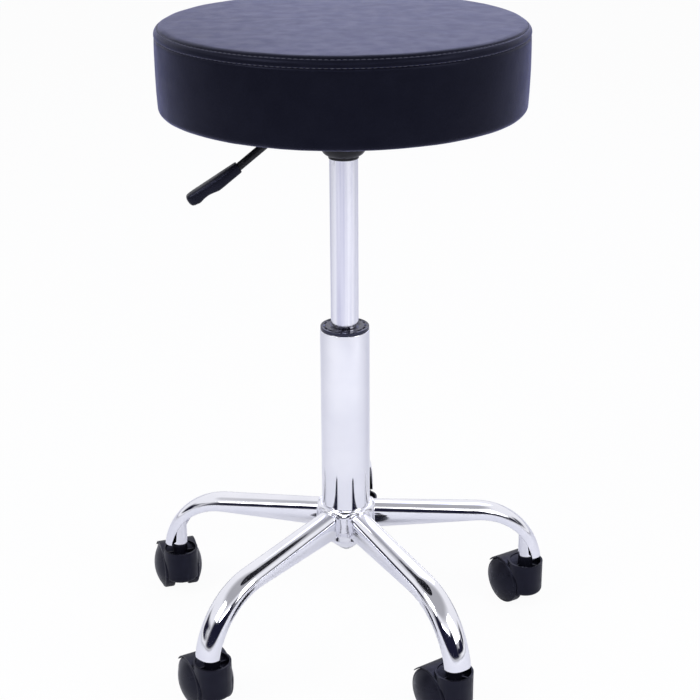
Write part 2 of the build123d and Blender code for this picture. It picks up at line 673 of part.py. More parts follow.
def lever_grip():
    """Moulded grip with a finger rest underneath, pushed over the rod's end."""
    x, z = lever_points()[2]
    drop = radians(LEVER_GRIP_DROP)
    sections = []
    for along, middle, half_t, half_w in GRIP_SHAPE:
        spot = (x + along * cos(drop) + middle * sin(drop), 0, z - along * sin(drop) + middle * cos(drop))
        plane = Plane(spot, x_dir=(0, 1, 0), z_dir=(cos(drop), 0, -sin(drop)))
        sections.append(plane * Ellipse(half_w, half_t))
    return on_lever_side(loft(sections) - lever_blank())


def plate_bolts():
    head = disc(BOLT_HEAD_R, PLATE_BOTTOM_Z - BOLT_HEAD_H, PLATE_BOTTOM_Z)
    head = fillet(head.edges().sort_by(Axis.Z)[0], BOLT_HEAD_EDGE)
    key = Pos(0, 0, PLATE_BOTTOM_Z - BOLT_HEAD_H) * extrude(RegularPolygon(BOLT_KEY_R, 6), BOLT_KEY_DEPTH)
    bolt = head - key + disc(BOLT_R, PLATE_BOTTOM_Z, BOARD_TOP_Z)
    return group([on_lever_side(place * bolt) for place in bolt_places()])


# ---- Seat -----------------------------------------------------------------------------
def tee_nut_solid():
    barrel = disc(TEE_BARREL_R, HEM_TOP_Z, BOARD_TOP_Z)
    return barrel + disc(TEE_FLANGE_R, BOARD_TOP_Z - TEE_FLANGE_T, BOARD_TOP_Z)


def tee_nuts():
    nut = tee_nut_solid() - disc(BOLT_R, 0, FAR)
    return group([on_lever_side(place * nut) for place in bolt_places()])


def seat_board():
    board = disc(BOARD_R, HEM_TOP_Z, BOARD_TOP_Z)
    for place in bolt_places():
        board -= on_lever_side(place * tee_nut_solid())
    return board


def dust_cover():
    sheet = disc(HEM_R - DUST_COVER_ROOM, PLATE_TOP_Z, HEM_TOP_Z)
    for place in bolt_places():
        sheet -= on_lever_side(place * disc(BOLT_R + BOLT_PLAY, 0, FAR))
    return sheet


def cushion(inset):
    """The seat's outside, or the same shape drawn in by a thickness."""
    low_r = SEAT_LOWER_EDGE - inset
    top_r = SEAT_TOP_EDGE - inset
    low = CenterArc((SEAT_R - SEAT_LOWER_EDGE, SEAT_BOTTOM_Z + SEAT_LOWER_EDGE), low_r, -90, 90)
    top = CenterArc((SEAT_R - SEAT_TOP_EDGE, SEAT_EDGE_Z - SEAT_TOP_EDGE), top_r, 0, 90)
    crown = dome(SEAT_R - SEAT_TOP_EDGE, SEAT_EDGE_Z - inset, SEAT_CROWN)
    axis = Polyline(crown @ 1, (0, SEAT_BOTTOM_Z + inset), low @ 0)
    return turned(low, Line(low @ 1, top @ 0), top, crown, axis)


def seat_cover_top():
    return cushion(0.0) - cushion(COVER_T) - disc(FAR, 0, SEAM_Z)


def seat_cover_band():
    """Side of the cover, turned in under the board as a hem."""
    shell = cushion(0.0) - cushion(COVER_T) - disc(FAR, SEAM_Z, FAR)
    return shell - disc(HEM_R, 0, HEM_TOP_Z)


def seat_foam():
    return cushion(COVER_T) - disc(BOARD_R, 0, BOARD_TOP_Z)


# ---- Everything in place ---------------------------------------------------------------
def base_nodes():
    shell = leg()
    nodes = {"hub_sleeve": hub_sleeve(), "column_tube": column_tube(), "guide_bush": guide_bush()}
    for i in range(LEG_COUNT):
        nodes[f"leg_{i + 1}"] = leg_turn(i) * shell
    socket = caster_socket(shell)
    nodes["caster_sockets"] = group([leg_turn(i) * socket for i in range(LEG_COUNT)])
    return nodes


def caster_nodes():
    pieces = {
        "caster_stem": caster_stem(),
        "caster_housing": caster_housing(),
        "caster_axle": caster_axle(),
        "wheel_left": wheel(1),
        "wheel_right": wheel(-1),
    }
    nodes = {}
    for name, piece in pieces.items():
        for i in range(LEG_COUNT):
            nodes[f"{name}_{i + 1}"] = under_leg(piece, i)
    nodes["grip_rings"] = group([under_leg(grip_ring(), i) for i in range(LEG_COUNT)])
    return nodes


SINGLE_PIECES = (
    pressure_tube, rod_gland, valve_body, valve_pin, piston_rod, piston, thrust_bearing,
    rubber_buffer, rod_clip, taper_socket, mounting_plate, lever_rod, lever_pivot, lever_grip,
    plate_bolts, tee_nuts, seat_board, dust_cover, seat_foam, seat_cover_band, seat_cover_top,
)


def main():
    os.makedirs("parts", exist_ok=True)
    nodes = {**base_nodes(), **caster_nodes()}
    for make in SINGLE_PIECES:
        nodes[make.__name__] = make()
    for name, shape in nodes.items():
        export_step(shape, f"parts/{name}.step")
        solids = shape.solids()
        print(name, len(solids), round(sum(solid.volume for solid in solids)))


main()
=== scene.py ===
"""The dressed stool: smooth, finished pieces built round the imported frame.

Shapes are drawn in millimetres and put into the frame in metres. Places and main sizes come from
the frame; the sizes of the bent legs, the lever and the cushion repeat the construction's own.
"""

import json
from math import acos, atan2, cos, degrees, hypot, pi, radians, sin, sqrt, tan

import bpy
from mathutils import Matrix, Vector, noise


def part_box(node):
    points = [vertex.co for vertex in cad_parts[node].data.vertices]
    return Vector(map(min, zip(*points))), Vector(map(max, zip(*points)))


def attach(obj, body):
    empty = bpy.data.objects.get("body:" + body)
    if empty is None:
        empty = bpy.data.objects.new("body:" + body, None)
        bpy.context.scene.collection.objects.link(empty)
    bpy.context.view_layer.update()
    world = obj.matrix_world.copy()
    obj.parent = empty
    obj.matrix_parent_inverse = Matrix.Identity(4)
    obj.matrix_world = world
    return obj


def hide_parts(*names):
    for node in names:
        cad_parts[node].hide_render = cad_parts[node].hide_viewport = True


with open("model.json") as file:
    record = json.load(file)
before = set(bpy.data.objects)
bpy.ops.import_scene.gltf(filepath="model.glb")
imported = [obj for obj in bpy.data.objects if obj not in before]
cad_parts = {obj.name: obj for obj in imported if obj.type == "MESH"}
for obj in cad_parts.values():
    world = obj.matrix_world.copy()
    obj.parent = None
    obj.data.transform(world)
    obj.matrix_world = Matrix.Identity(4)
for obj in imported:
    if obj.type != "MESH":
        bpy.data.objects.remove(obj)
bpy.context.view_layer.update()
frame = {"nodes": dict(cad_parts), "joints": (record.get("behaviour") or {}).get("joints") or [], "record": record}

MM = 0.001
JOINTS = {joint["name"]: joint for joint in frame["joints"]}
COUNT = 5
INDEXES = range(1, COUNT + 1)
SKIN_GAP = 0.02         # between faces that touch in the real stool


# ---- Sizes from the frame, in millimetres ----------------------------------------------
def box_mm(node):
    low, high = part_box(node)
    return low / MM, high / MM


HUB_LOW, HUB_HIGH = box_mm("hub_sleeve")
COLUMN_LOW, COLUMN_HIGH = box_mm("column_tube")
BUSH_LOW, BUSH_HIGH = box_mm("guide_bush")
TUBE_LOW, TUBE_HIGH = box_mm("pressure_tube")
SOCKET_LOW, SOCKET_HIGH = box_mm("taper_socket")
BAND_LOW, BAND_HIGH = box_mm("seat_cover_band")
STEM_LOW, STEM_HIGH = box_mm("caster_stem_1")
PLATE_LOW = box_mm("mounting_plate")[0]
FOAM_LOW = box_mm("seat_foam")[0]
TOP_HIGH = box_mm("seat_cover_top")[1]
BOARD_HIGH = box_mm("seat_board")[1]
DUST_HIGH = box_mm("dust_cover")[1]
LEG_TIP = box_mm("caster_sockets")[0].z
HUB_R = HUB_HIGH.x
HUB_TOP = HUB_HIGH.z
COLUMN_R = COLUMN_HIGH.x
TUBE_R = TUBE_HIGH.x
STEM_CIRCLE_R = hypot(*JOINTS["caster_swivel_1"]["pos_m"][:2]) / MM
PIVOT = Vector(JOINTS["lever_hinge"]["pos_m"]) / MM
PIVOT_OUT = hypot(PIVOT.x, PIVOT.y)
LEVER_HEADING = atan2(JOINTS["lever_hinge"]["axis"][0], -JOINTS["lever_hinge"]["axis"][1])

# ---- Base ------------------------------------------------------------------------------
HUB_BEAD = 2.2
HUB_BORE_GAP = 0.05
HUB_EDGE = 0.4
HUB_ROWS = 16
LEG_SHEET = 1.8
LEG_HUB_HALF_W = 12.2
LEG_TIP_HALF_W = 14.1
LEG_ARCH = 12.0
LEG_SQUARENESS = 2.4
LEG_BACK_DROP = 2.7
LEG_SLOPE = radians(8.0)
LEG_BACK_OUT = 16.04
LEG_BEND_R = 85.0
LEG_BEND_END = radians(83.0)
SKIRT_SLOPE = radians(3.0)
SKIRT_OUT = 3.23
SKIRT_BEND_R = 71.0
SKIRT_BEND_END = radians(78.0)
SKIRT_DROP = HUB_TOP - HUB_LOW.z
LEG_BEND_START_R = STEM_CIRCLE_R + LEG_BACK_OUT
LEG_BEND_START_R -= LEG_BEND_R * (sin(LEG_BEND_END) - sin(LEG_SLOPE))
SKIRT_BEND_START_R = STEM_CIRCLE_R + SKIRT_OUT
SKIRT_BEND_START_R -= SKIRT_BEND_R * (sin(SKIRT_BEND_END) - sin(SKIRT_SLOPE))
LEG_STEPS = 72
SECTION_STEPS = 14
WELD_R = 1.9
WELD_OUTSIDE = 0.4      # the bead's middle beside the leg's wall
WELD_LUMPS = 0.07
WELD_FILL = 3.2         # weld laid on the hub halfway between two legs
WELD_FADE = 5.0         # and how far from the hub's ends it reaches its full height
HUB_LUMPS = 0.2

# ---- Lift ------------------------------------------------------------------------------
COLUMN_WALL = 2.0
COLUMN_TAPER = 0.0262
COLUMN_MOUTH_EDGE = 0.5
FOOT_R = 9.6
FOOT_HEIGHT = 13.0
FOOT_EASE = 1.6
ROD_HOLE_R = 4.05
BUSH_SLOTS = 16
BUSH_SLOT_R = 20.8
BUSH_SLOT_W = 1.4
BUSH_SLOT_DEPTH = 1.4
BUSH_SLOT_SHARE = 0.6   # of the slot's pitch
BUSH_EDGE = 0.6
BUSH_DISH = 0.35        # the slotted ring below the collar's face
BUSH_BORE_GAP = 0.05
TUBE_EDGE = 0.6
TUBE_TIP_EDGE = 0.8
TUBE_WALL = 1.8
TAPER = 0.02
TAPER_START = SOCKET_LOW.z
SOCKET_LIP_R = 14.9
SOCKET_LIP_H = 2.7
SOCKET_BOWL_R = 22.0
SOCKET_BOWL_EDGE = 9.0
SOCKET_NECK_R = 18.6
SOCKET_FLANGE_T = 2.5
PLATE_EDGE = 0.4        # rolled edges of the mounting plate
SOCKET_CORNER = 0.8
SOCKET_LIP_EDGE = 0.5
SOCKET_LIP_FLARE = 0.3

# ---- Casters, each in its own frame: stem on the Z axis, +X ahead -----------------------
WHEEL_R = 25.4
WHEEL_TRAIL = 17.5
WEB_HALF_W = 8.0
WHEEL_IN = 8.3
WHEEL_OUT = 19.5
WHEEL_DOME = 7.0
WHEEL_EDGE = 2.5
WHEEL_WALL = 2.6
WHEEL_BACK_EDGE = 0.6
WHEEL_TREAD_GAP = 0.4   # of the tread's last ring before the rounded edge
WHEEL_DOME_STEPS = 24
WHEEL_HUB_R = 6.5
WHEEL_BORE_DEPTH = 13.3
WHEEL_BORE_GAP = 0.05
AXLE_R = 3.0
HOOD_HALF_W = 20.0
HOOD_IN_R = 26.3
HOOD_R = 27.9
HOOD_REAR_ANGLE = radians(38.0)
HOOD_TIP_THINNED = 1.5  # the hood runs out thin behind the wheel
SHOULDER_BACK = 8.0
PLAN_IN = 0.3           # the hood's plan inside the barrel's
CUP_R = 19.0
CUP_WALL = 2.0
CUP_RIM = 54.1
CUP_BOTTOM = 17.0
CUP_BOTTOM_EDGE = 5.0
CUP_FLOOR = 43.1
CUP_RIBS = 6
CUP_RIB_T = 1.4
CUP_RIB_TOP = 50.3
BOSS_R = 8.0
BOSS_TOP = 60.7
PIN_BORE_R = 4.05
PIN_BORE_BOTTOM = 34.7
AXLE_BOSS_R = 8.5
MOULD_EDGE = 0.5
SOCKET_TUBE_R = 8.25
SOCKET_BORE_R = 5.65
STEM_R = 5.5
STEM_PIN_R = 4.0
STEM_EDGE = 0.6
STEM_FLANGE_R = 8.0
STEM_FLANGE_T = 1.0
STEM_FLANGE_EDGE = 0.2
STEM_TOP_EDGE = 1.0
RING_GROOVE = 0.8
RING_GROOVE_FROM = 8.0  # below the stem's top
RING_GROOVE_TO = 4.0

# ---- Lever -----------------------------------------------------------------------------
LEVER_R = 4.0
LEVER_INNER_END = 6.0
LEVER_BEND_AT = 47.0
LEVER_DROP = radians(37.6)
LEVER_BEND_R = 14.0
LEVER_RUN = 70.3
GRIP_DROP = radians(31.5)
LEVER_IN_GRIP = 12.0
SLEEVE_R = 5.5
SLEEVE_BORE_R = 2.55
SLEEVE_HALF = 24.2
SLEEVE_EDGE = 0.5
PIVOT_R = 2.5
PIVOT_HALF = 27.0
PIVOT_HEAD_R = 4.2
PIVOT_HEAD_T = 1.5
NOSE_TURNS = (0.25, 0.6, 1.0, pi / 2)  # places on the rod's domed inner end
# Along the grip: distance, height of the middle, half thickness, half width.
GRIP_SHAPE = (
    (0.0, 0.0, 4.6, 5.2),
    (0.8, 0.0, 5.4, 6.0),
    (12.0, -0.5, 6.0, 6.8),
    (25.0, -1.1, 6.7, 7.4),
    (29.0, -1.0, 6.6, 7.5),
    (34.0, -0.4, 6.0, 7.6),
    (39.0, -0.1, 5.7, 7.6),
    (44.0, -0.3, 6.0, 7.6),
    (49.0, -0.8, 6.6, 7.5),
    (52.0, -0.6, 6.3, 7.3),
    (54.0, -0.5, 6.1, 7.0),
    (56.6, -0.4, 5.2, 5.8),
    (58.0, -0.3, 2.9, 3.4),
    (58.3, -0.2, 0.8, 1.0),
)
GRIP_SQUARENESS = 3.2

# ---- Seat ------------------------------------------------------------------------------
COVER_PROUD = 0.9       # the soft cover stands this far outside its plain solid
COVER_RISE = 1.7        # and its top this far above it
SEAT_CROWN = 2.2
SEAT_EDGE = TOP_HIGH.z + COVER_RISE - SEAT_CROWN
SEAT_TOP_EDGE = 9.5
SEAT_BOTTOM = BAND_LOW.z - 1.0
SEAT_LOWER_EDGE = 6.0
SEAT_R = BAND_HIGH.x + COVER_PROUD
SEAT_SEGMENTS = 288
TOP_STEPS = 32
EDGE_STEPS = 5
STRIP_STEPS = 12
SIDE_STEPS = 24
EDGE_MIDDLE_R = SEAT_R - SEAT_TOP_EDGE
EDGE_MIDDLE_Z = SEAT_EDGE - SEAT_TOP_EDGE
COVER_T = 1.6
FOAM_IN = 2.0           # inside the cover's outside
SIDE_DRAW_IN = 0.8      # lower edge of the band inside its upper edge
SIDE_BULGE = 0.48
COVER_WAVES = ((0.35, 42.0, 1.0), (0.12, 15.0, 2.0))  # depth, size and seed
PUCKER = 0.16
HEM_GAP = 0.3           # to the dust cloth's edge
HEM_PLEAT = 0.25
HEM_PLEATS = 46
STITCH_PITCH = 5.2
STITCH_LENGTH = 3.9
STITCH_R = 0.42
STITCH_RISE = 0.32
STITCH_TAPER = (0.55, 0.85, 1.0, 1.0, 1.0, 0.85, 0.55)
STITCH_ROW_ANGLE = radians(47.0)
ROW_GROOVE = 0.7
STRIP_PUFF = 0.55
STAPLE_COUNT = 72
STAPLE_HALF = 5.0
STAPLE_WIRE_R = 0.4
STAPLE_LEG = 2.0
STAPLE_OUT = 8.0        # outside the dust cloth's edge


# ---- Studio ----------------------------------------------------------------------------
WHITE = (1.0, 1.0, 1.0, 1.0)
FLOOR_GLOW = 0.95       # share of the floor's own white that the camera sees
CAMERA_AT = (130.37, -1472.7, 906.25)
CAMERA_TURNS = (4.861, 68.433, -0.333)  # heading, tilt and roll in degrees
CAMERA_LENS = 80.67


# ---- Mesh helpers ----------------------------------------------------------------------
ASIDE = Vector((0.13, 0.31, 0.94))  # in line with none of the bars' paths


def arc(centre, radius, start, end, steps):
    """Points on an arc between two angles in degrees, ends included."""
    turns = [radians(start + (end - start) * i / steps) for i in range(steps + 1)]
    return [(centre[0] + radius * cos(t), centre[1] + radius * sin(t)) for t in turns]


def lathe(outline, segments=96, closed=True):
    """Turn (radius, height) points about Z. Points on the axis become poles."""
    points, faces, rings = [], [], []
    for r, z in outline:
        if r < 1e-6:
            rings.append([len(points)] * segments)
            points.append(Vector((0, 0, z)))
            continue
        rings.append(list(range(len(points), len(points) + segments)))
        for i in range(segments):
            turn = 2 * pi * i / segments
            points.append(Vector((r * cos(turn), r * sin(turn), z)))
    pairs = list(zip(rings, rings[1:]))
    if closed:
        pairs.append((rings[-1], rings[0]))
    for low, high in pairs:
        for i in range(segments):
            j = (i + 1) % segments
            corners = [low[i], low[j], high[j], high[i]]
            face = [c for n, c in enumerate(corners) if c not in corners[:n]]
            if len(face) > 2:
                faces.append(face)
    return points, faces


def skin(loops, closed_ends=True, wrap=False):
    """Join loops of equal length into a tube."""
    size = len(loops[0])
    points = [Vector(p) for loop in loops for p in loop]
    faces = []
    steps = range(len(loops) if wrap else len(loops) - 1)
    for a in steps:
        b = (a + 1) % len(loops)
        for i in range(size):
            j = (i + 1) % size
            faces.append([a * size + i, a * size + j, b * size + j, b * size + i])
    if closed_ends and not wrap:
        faces.append(list(range(size))[::-1])
        faces.append([(len(loops) - 1) * size + i for i in range(size)])
    return points, faces


def tube_on(path, radius, sides=12, wrap=False):
    """A round bar along a list of points; radius may be a function of the step."""
    loops = []
    count = len(path)
    for i, spot in enumerate(path):
        before = path[i - 1] if i or wrap else spot
        after = path[(i + 1) % count] if i < count - 1 or wrap else spot
        ahead = (after - before).normalized()
        across = ahead.cross(ASIDE).normalized()
        up = across.cross(ahead)
        r = radius(i) if callable(radius) else radius
        turns = [2 * pi * k / sides for k in range(sides)]
        loops.append([spot + r * (cos(t) * across + sin(t) * up) for t in turns])
    return skin(loops, wrap=wrap)


def merged(*shapes):
    """Several (points, faces) shapes as one."""
    points, faces = [], []
    for some, their_faces in shapes:
        start = len(points)
        points.extend(some)
        faces.extend([[c + start for c in face] for face in their_faces])
    return points, faces


def moved(shape, matrix):
    points, faces = shape
    return [matrix @ p for p in points], faces


def new_object(name, data):
    obj = bpy.data.objects.new(name, data)
    bpy.context.scene.collection.objects.link(obj)
    return obj


def new_mesh(name, shape, sharp=40.0):
    """A mesh in metres from a shape in millimetres, with its faces turned outward."""
    points, faces = shape
    mesh = bpy.data.meshes.new(name)
    mesh.from_pydata([p * MM for p in points], [], faces)
    holder = new_object(name, mesh)
    bpy.context.view_layer.objects.active = holder
    holder.select_set(True)
    bpy.ops.object.mode_set(mode="EDIT")
    bpy.ops.mesh.select_all(action="SELECT")
    bpy.ops.mesh.normals_make_consistent(inside=False)
    bpy.ops.object.mode_set(mode="OBJECT")
    holder.select_set(False)
    mesh.shade_smooth()
    mesh.set_sharp_from_angle(angle=radians(sharp))
    return holder


def fit(obj, body, material, replaced=()):
    """Give a piece its finish and its body, and hide the CAD nodes that it stands for."""
    obj.data.materials.clear()
    obj.data.materials.append(material)
    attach(obj, body)
    if replaced:
        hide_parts(*replaced)
    return obj


def piece(name, shape, body, material, replaced=(), sharp=40.0):
    return fit(new_mesh(name, shape, sharp), body, material, replaced)


def turn_z(angle):
    return Matrix.Rotation(angle, 4, "Z")


def shift(x, y, z):
    return Matrix.Translation((x, y, z))


def ripple(spot, scale, seed=0.0):
    """Smooth noise from -1 to 1 at a place, the same on every run."""
    return noise.noise(Vector(spot) / scale + Vector((seed, 2.3 * seed, 5.1)))


# ---- Materials -------------------------------------------------------------------------
def add_node(tree, kind, links=(), **values):
    """A node with its properties set and its inputs linked or filled in."""
    node = tree.nodes.new(kind)
    for key, value in values.items():
        setattr(node, key, value)
    for socket, value in dict(links).items():
        if isinstance(value, bpy.types.NodeSocket):
            tree.links.new(value, node.inputs[socket])
        else:
            node.inputs[socket].default_value = value
    return node


def ranged(tree, value, low, high, out_low, out_high):
    """A value eased from one range into another."""
    links = {0: value, 1: low, 2: high, 3: out_low, 4: out_high}
    return add_node(tree, "ShaderNodeMapRange", links, interpolation_type="SMOOTHSTEP").outputs[0]


class Finish:
    """A Principled material whose colour, roughness and relief come from noise in the mesh's space."""

    def __init__(self, name, **sockets):
        self.material = bpy.data.materials.new(name)
        self.material.use_nodes = True
        self.tree = self.material.node_tree
        self.shader = self.tree.nodes["Principled BSDF"]
        self.height = None
        for socket, value in sockets.items():
            self.shader.inputs[socket.replace("_", " ")].default_value = value
        self.place = self.add("ShaderNodeTexCoord").outputs["Object"]

    def add(self, kind, links=(), **values):
        return add_node(self.tree, kind, links, **values)

    def stretched(self, x, y, z):
        return self.add("ShaderNodeMapping", {"Vector": self.place, "Scale": (x, y, z)}).outputs["Vector"]

    def noise(self, size_mm, detail=3.0, rough=0.55, vector=None, distortion=0.0):
        links = {
            "Vector": vector or self.place,
            "Scale": 1000.0 / size_mm,
            "Detail": detail,
            "Roughness": rough,
            "Distortion": distortion,
        }
        return self.add("ShaderNodeTexNoise", links).outputs["Fac"]

    def cells(self, size_mm, feature="F1", vector=None):
        links = {"Vector": vector or self.place, "Scale": 1000.0 / size_mm}
        return self.add("ShaderNodeTexVoronoi", links, feature=feature).outputs["Distance"]

    def sum(self, a, b, share):
        return self.add("ShaderNodeMath", {0: b, 1: share, 2: a}, operation="MULTIPLY_ADD").outputs[0]

    def colours(self, value, *stops):
        ramp = self.add("ShaderNodeValToRGB", {"Fac": value})
        elements = ramp.color_ramp.elements
        while len(elements) < len(stops):
            elements.new(0.5)
        for element, (position, colour) in zip(elements, stops):
            element.position = position
            element.color = (*colour, 1.0)
        self.tree.links.new(ramp.outputs["Color"], self.shader.inputs["Base Color"])

    def roughness(self, value, low, high):
        self.tree.links.new(ranged(self.tree, value, 0.3, 0.7, low, high), self.shader.inputs["Roughness"])

    def relief(self, value, depth_mm, strength=1.0):
        links = {"Strength": strength, "Distance": depth_mm * MM, "Height": value}
        if self.height:
            links["Normal"] = self.height
        self.height = self.add("ShaderNodeBump", links).outputs["Normal"]
        self.tree.links.new(self.height, self.shader.inputs["Normal"])


def chrome_finish():
    """Bright plated steel: soft waves from polishing, a few hairlines, slightly uneven gloss."""
    f = Finish("chrome", Metallic=1.0)
    waves = f.noise(38.0, 2.0)
    f.colours(f.noise(60.0), (0.3, (0.80, 0.805, 0.86)), (0.7, (0.89, 0.89, 0.93)))
    f.roughness(f.noise(18.0, 4.0), 0.035, 0.10)
    f.relief(waves, 0.35, 0.5)
    f.relief(f.noise(1.2, 2.0, vector=f.stretched(1.0, 1.0, 0.06)), 0.004, 0.35)
    return f.material


def weld_finish():
    """The same plate over a ground and polished weld."""
    f = Finish("welded_chrome", Metallic=1.0)
    f.colours(f.noise(20.0), (0.3, (0.76, 0.765, 0.83)), (0.7, (0.88, 0.88, 0.93)))
    f.roughness(f.noise(6.0, 4.0), 0.14, 0.26)
    f.relief(f.noise(7.0, 3.0, distortion=0.6), 0.3, 0.5)
    return f.material


def satin_finish():
    """Drawn and plated tube: fine lines along it, soft gloss, and painted highlight streaks along it in its
    colour.
    """
    f = Finish("ground_steel", Metallic=1.0)
    lines = f.noise(2.6, 3.0, vector=f.stretched(1.0, 1.0, 0.01))
    # Lighter and darker bands along the tube in its colour: painted highlight streaks that stand in for the lamps'
    # reflections.
    painted_highlight_streaks = f.noise(7.0, 2.0, vector=f.stretched(1.0, 1.0, 0.012))
    f.colours(painted_highlight_streaks, (0.36, (0.62, 0.62, 0.74)), (0.62, (0.9, 0.9, 0.95)))
    f.roughness(lines, 0.13, 0.2)
    f.relief(lines, 0.006, 0.25)
    return f.material


def zinc_finish():
    """Bright zinc: crystalline patches and dull spots."""
    f = Finish("zinc_plate", Metallic=1.0)
    f.colours(f.cells(5.0), (0.1, (0.58, 0.59, 0.6)), (0.8, (0.74, 0.75, 0.76)))
    f.roughness(f.noise(3.0), 0.25, 0.42)
    f.relief(f.noise(0.8), 0.01, 0.4)
    return f.material


def plastic_finish(name, dark, light, grain_mm, rough_low, rough_high, gloss=0.26):
    """Moulded black plastic: spark-eroded grain, faint flow marks, rubbed patches."""
    f = Finish(name, IOR=1.46, Specular_IOR_Level=gloss)
    f.shader.inputs["Specular Tint"].default_value = (0.62, 0.65, 1.0, 1.0)
    f.colours(f.noise(16.0, 4.0), (0.3, dark), (0.75, light))
    f.roughness(f.noise(9.0, 4.0), rough_low, rough_high)
    f.relief(f.noise(grain_mm, 3.0, 0.7), 0.03, 0.5)
    f.relief(f.noise(14.0, 2.0), 0.15, 0.3)
    return f.material


def leather_finish():
    """Coated cloth in near-black navy: pebbled grain, fine creases, a faint mottle."""
    f = Finish("leatherette", IOR=1.45, Specular_IOR_Level=0.1, Sheen_Weight=0.3, Sheen_Roughness=0.36)
    f.shader.inputs["Sheen Tint"].default_value = (0.32, 0.35, 1.0, 1.0)
    f.shader.inputs["Specular Tint"].default_value = (0.55, 0.58, 1.0, 1.0)
    warp = f.noise(2.5, 2.0)
    pebble = f.cells(1.25)
    creases = f.cells(3.4, "DISTANCE_TO_EDGE")
    grain = f.sum(f.sum(pebble, warp, 0.5), ranged(f.tree, creases, 0.0, 0.09, 0.0, 1.0), 0.35)
    mottle = f.noise(24.0, 5.0, 0.6)
    f.colours(mottle, (0.3, (0.004, 0.0042, 0.0075)), (0.7, (0.0055, 0.0058, 0.01)))
    f.roughness(f.noise(16.0, 4.0, 0.6), 0.3, 0.38)
    f.relief(grain, 0.10, 0.55)
    f.relief(f.noise(30.0, 3.0, vector=f.stretched(0.35, 1.0, 1.0)), 0.6, 0.3)
    return f.material


def thread_finish():
    """Twisted black polyester thread."""
    f = Finish("thread", Roughness=0.55, Sheen_Weight=0.4)
    f.shader.inputs["Sheen Tint"].default_value = (0.5, 0.52, 0.8, 1.0)
    twist = f.noise(0.35, 2.0)
    f.colours(twist, (0.35, (0.012, 0.012, 0.02)), (0.7, (0.05, 0.05, 0.075)))
    f.relief(twist, 0.05, 0.8)
    return f.material


def plain_finish(name, stops, tone, gloss, grain, rough, relief, **sockets):
    """A finish from three noises, (size, detail) each: for its tone, its gloss and its grain."""
    f = Finish(name, **sockets)
    f.colours(f.noise(*tone), *stops)
    f.roughness(f.noise(*gloss), *rough)
    f.relief(f.noise(*grain), *relief)
    return f.material


def powder_finish():
    """Black powder coat: orange peel and a few rubbed spots."""
    stops = (0.3, (0.004, 0.004, 0.007)), (0.75, (0.009, 0.009, 0.013))
    return plain_finish(
        "powder_coat", stops, (12.0, 4.0), (7.0, 4.0), (1.1, 2.0), (0.3, 0.48), (0.03, 0.5),
        IOR=1.5, Specular_IOR_Level=0.3)


def rubber_finish():
    stops = (0.3, (0.01, 0.01, 0.01)), (0.7, (0.025, 0.025, 0.024))
    return plain_finish("buffer_rubber", stops, (5.0,), (3.0,), (0.7,), (0.6, 0.8), (0.05, 0.5), IOR=1.45)


def acetal_finish():
    stops = (0.3, (0.62, 0.61, 0.56)), (0.7, (0.74, 0.73, 0.69))
    return plain_finish("white_acetal", stops, (8.0,), (4.0,), (1.5,), (0.3, 0.45), (0.02, 0.4), IOR=1.48)


def foam_finish():
    """Open-cell polyurethane foam, with painted shade darkening the middles of its pores."""
    f = Finish("foam", Roughness=0.95)
    pores_and_shade = f.cells(1.6)
    # Darker towards each pore's middle: painted shade in the holes.
    f.colours(pores_and_shade, (0.1, (0.55, 0.46, 0.26)), (0.6, (0.86, 0.78, 0.55)))
    f.relief(pores_and_shade, 0.5, 0.9)
    return f.material


def plywood_finish():
    """Birch ply: long grain on the faces."""
    f = Finish("plywood", Roughness=0.7)
    grain = f.noise(9.0, 5.0, 0.6, vector=f.stretched(0.08, 1.0, 1.0), distortion=0.8)
    f.colours(grain, (0.3, (0.40, 0.26, 0.14)), (0.5, (0.56, 0.40, 0.24)), (0.75, (0.66, 0.50, 0.32)))
    f.relief(grain, 0.08, 0.6)
    return f.material


def fleece_finish():
    """Non-woven dust cloth: matted fibres and a grid of bonding dots."""
    f = Finish("dust_cloth", Roughness=0.9)
    fibres = f.noise(1.4, 6.0, 0.8, vector=f.stretched(1.0, 0.3, 1.0))
    f.colours(fibres, (0.35, (0.006, 0.006, 0.007)), (0.65, (0.03, 0.03, 0.034)))
    f.relief(fibres, 0.12, 0.7)
    f.relief(f.cells(2.4), 0.1, 0.5)
    return f.material


# ---- Base ------------------------------------------------------------------------------
def column_r(z):
    return COLUMN_R - COLUMN_TAPER * max(0.0, HUB_TOP - z)


def back_place(run):
    """Point and slope of the leg's back at a distance along it: (radius, height, slope, run share)."""
    straight = (LEG_BEND_START_R - HUB_R) / cos(LEG_SLOPE)
    bend = LEG_BEND_R * (LEG_BEND_END - LEG_SLOPE)
    top = HUB_TOP - LEG_BACK_DROP
    if run <= straight:
        r = HUB_R + run * cos(LEG_SLOPE)
        return r, top - run * sin(LEG_SLOPE), LEG_SLOPE, run / straight
    bend_z = top - straight * sin(LEG_SLOPE)
    angle = LEG_SLOPE + min(run - straight, bend) / LEG_BEND_R
    r = LEG_BEND_START_R + LEG_BEND_R * (sin(angle) - sin(LEG_SLOPE))
    z = bend_z - LEG_BEND_R * (cos(LEG_SLOPE) - cos(angle))
    rest = max(0.0, run - straight - bend)
    return r + rest * cos(angle), z - rest * sin(angle), angle, 1.0


def back_length():
    """Length of the leg's back from the hub to the tip's cut."""
    run = (LEG_BEND_START_R - HUB_R) / cos(LEG_SLOPE) + LEG_BEND_R * (LEG_BEND_END - LEG_SLOPE)
    z = back_place(run)[1]
    return run + (z - LEG_TIP) / sin(LEG_BEND_END)


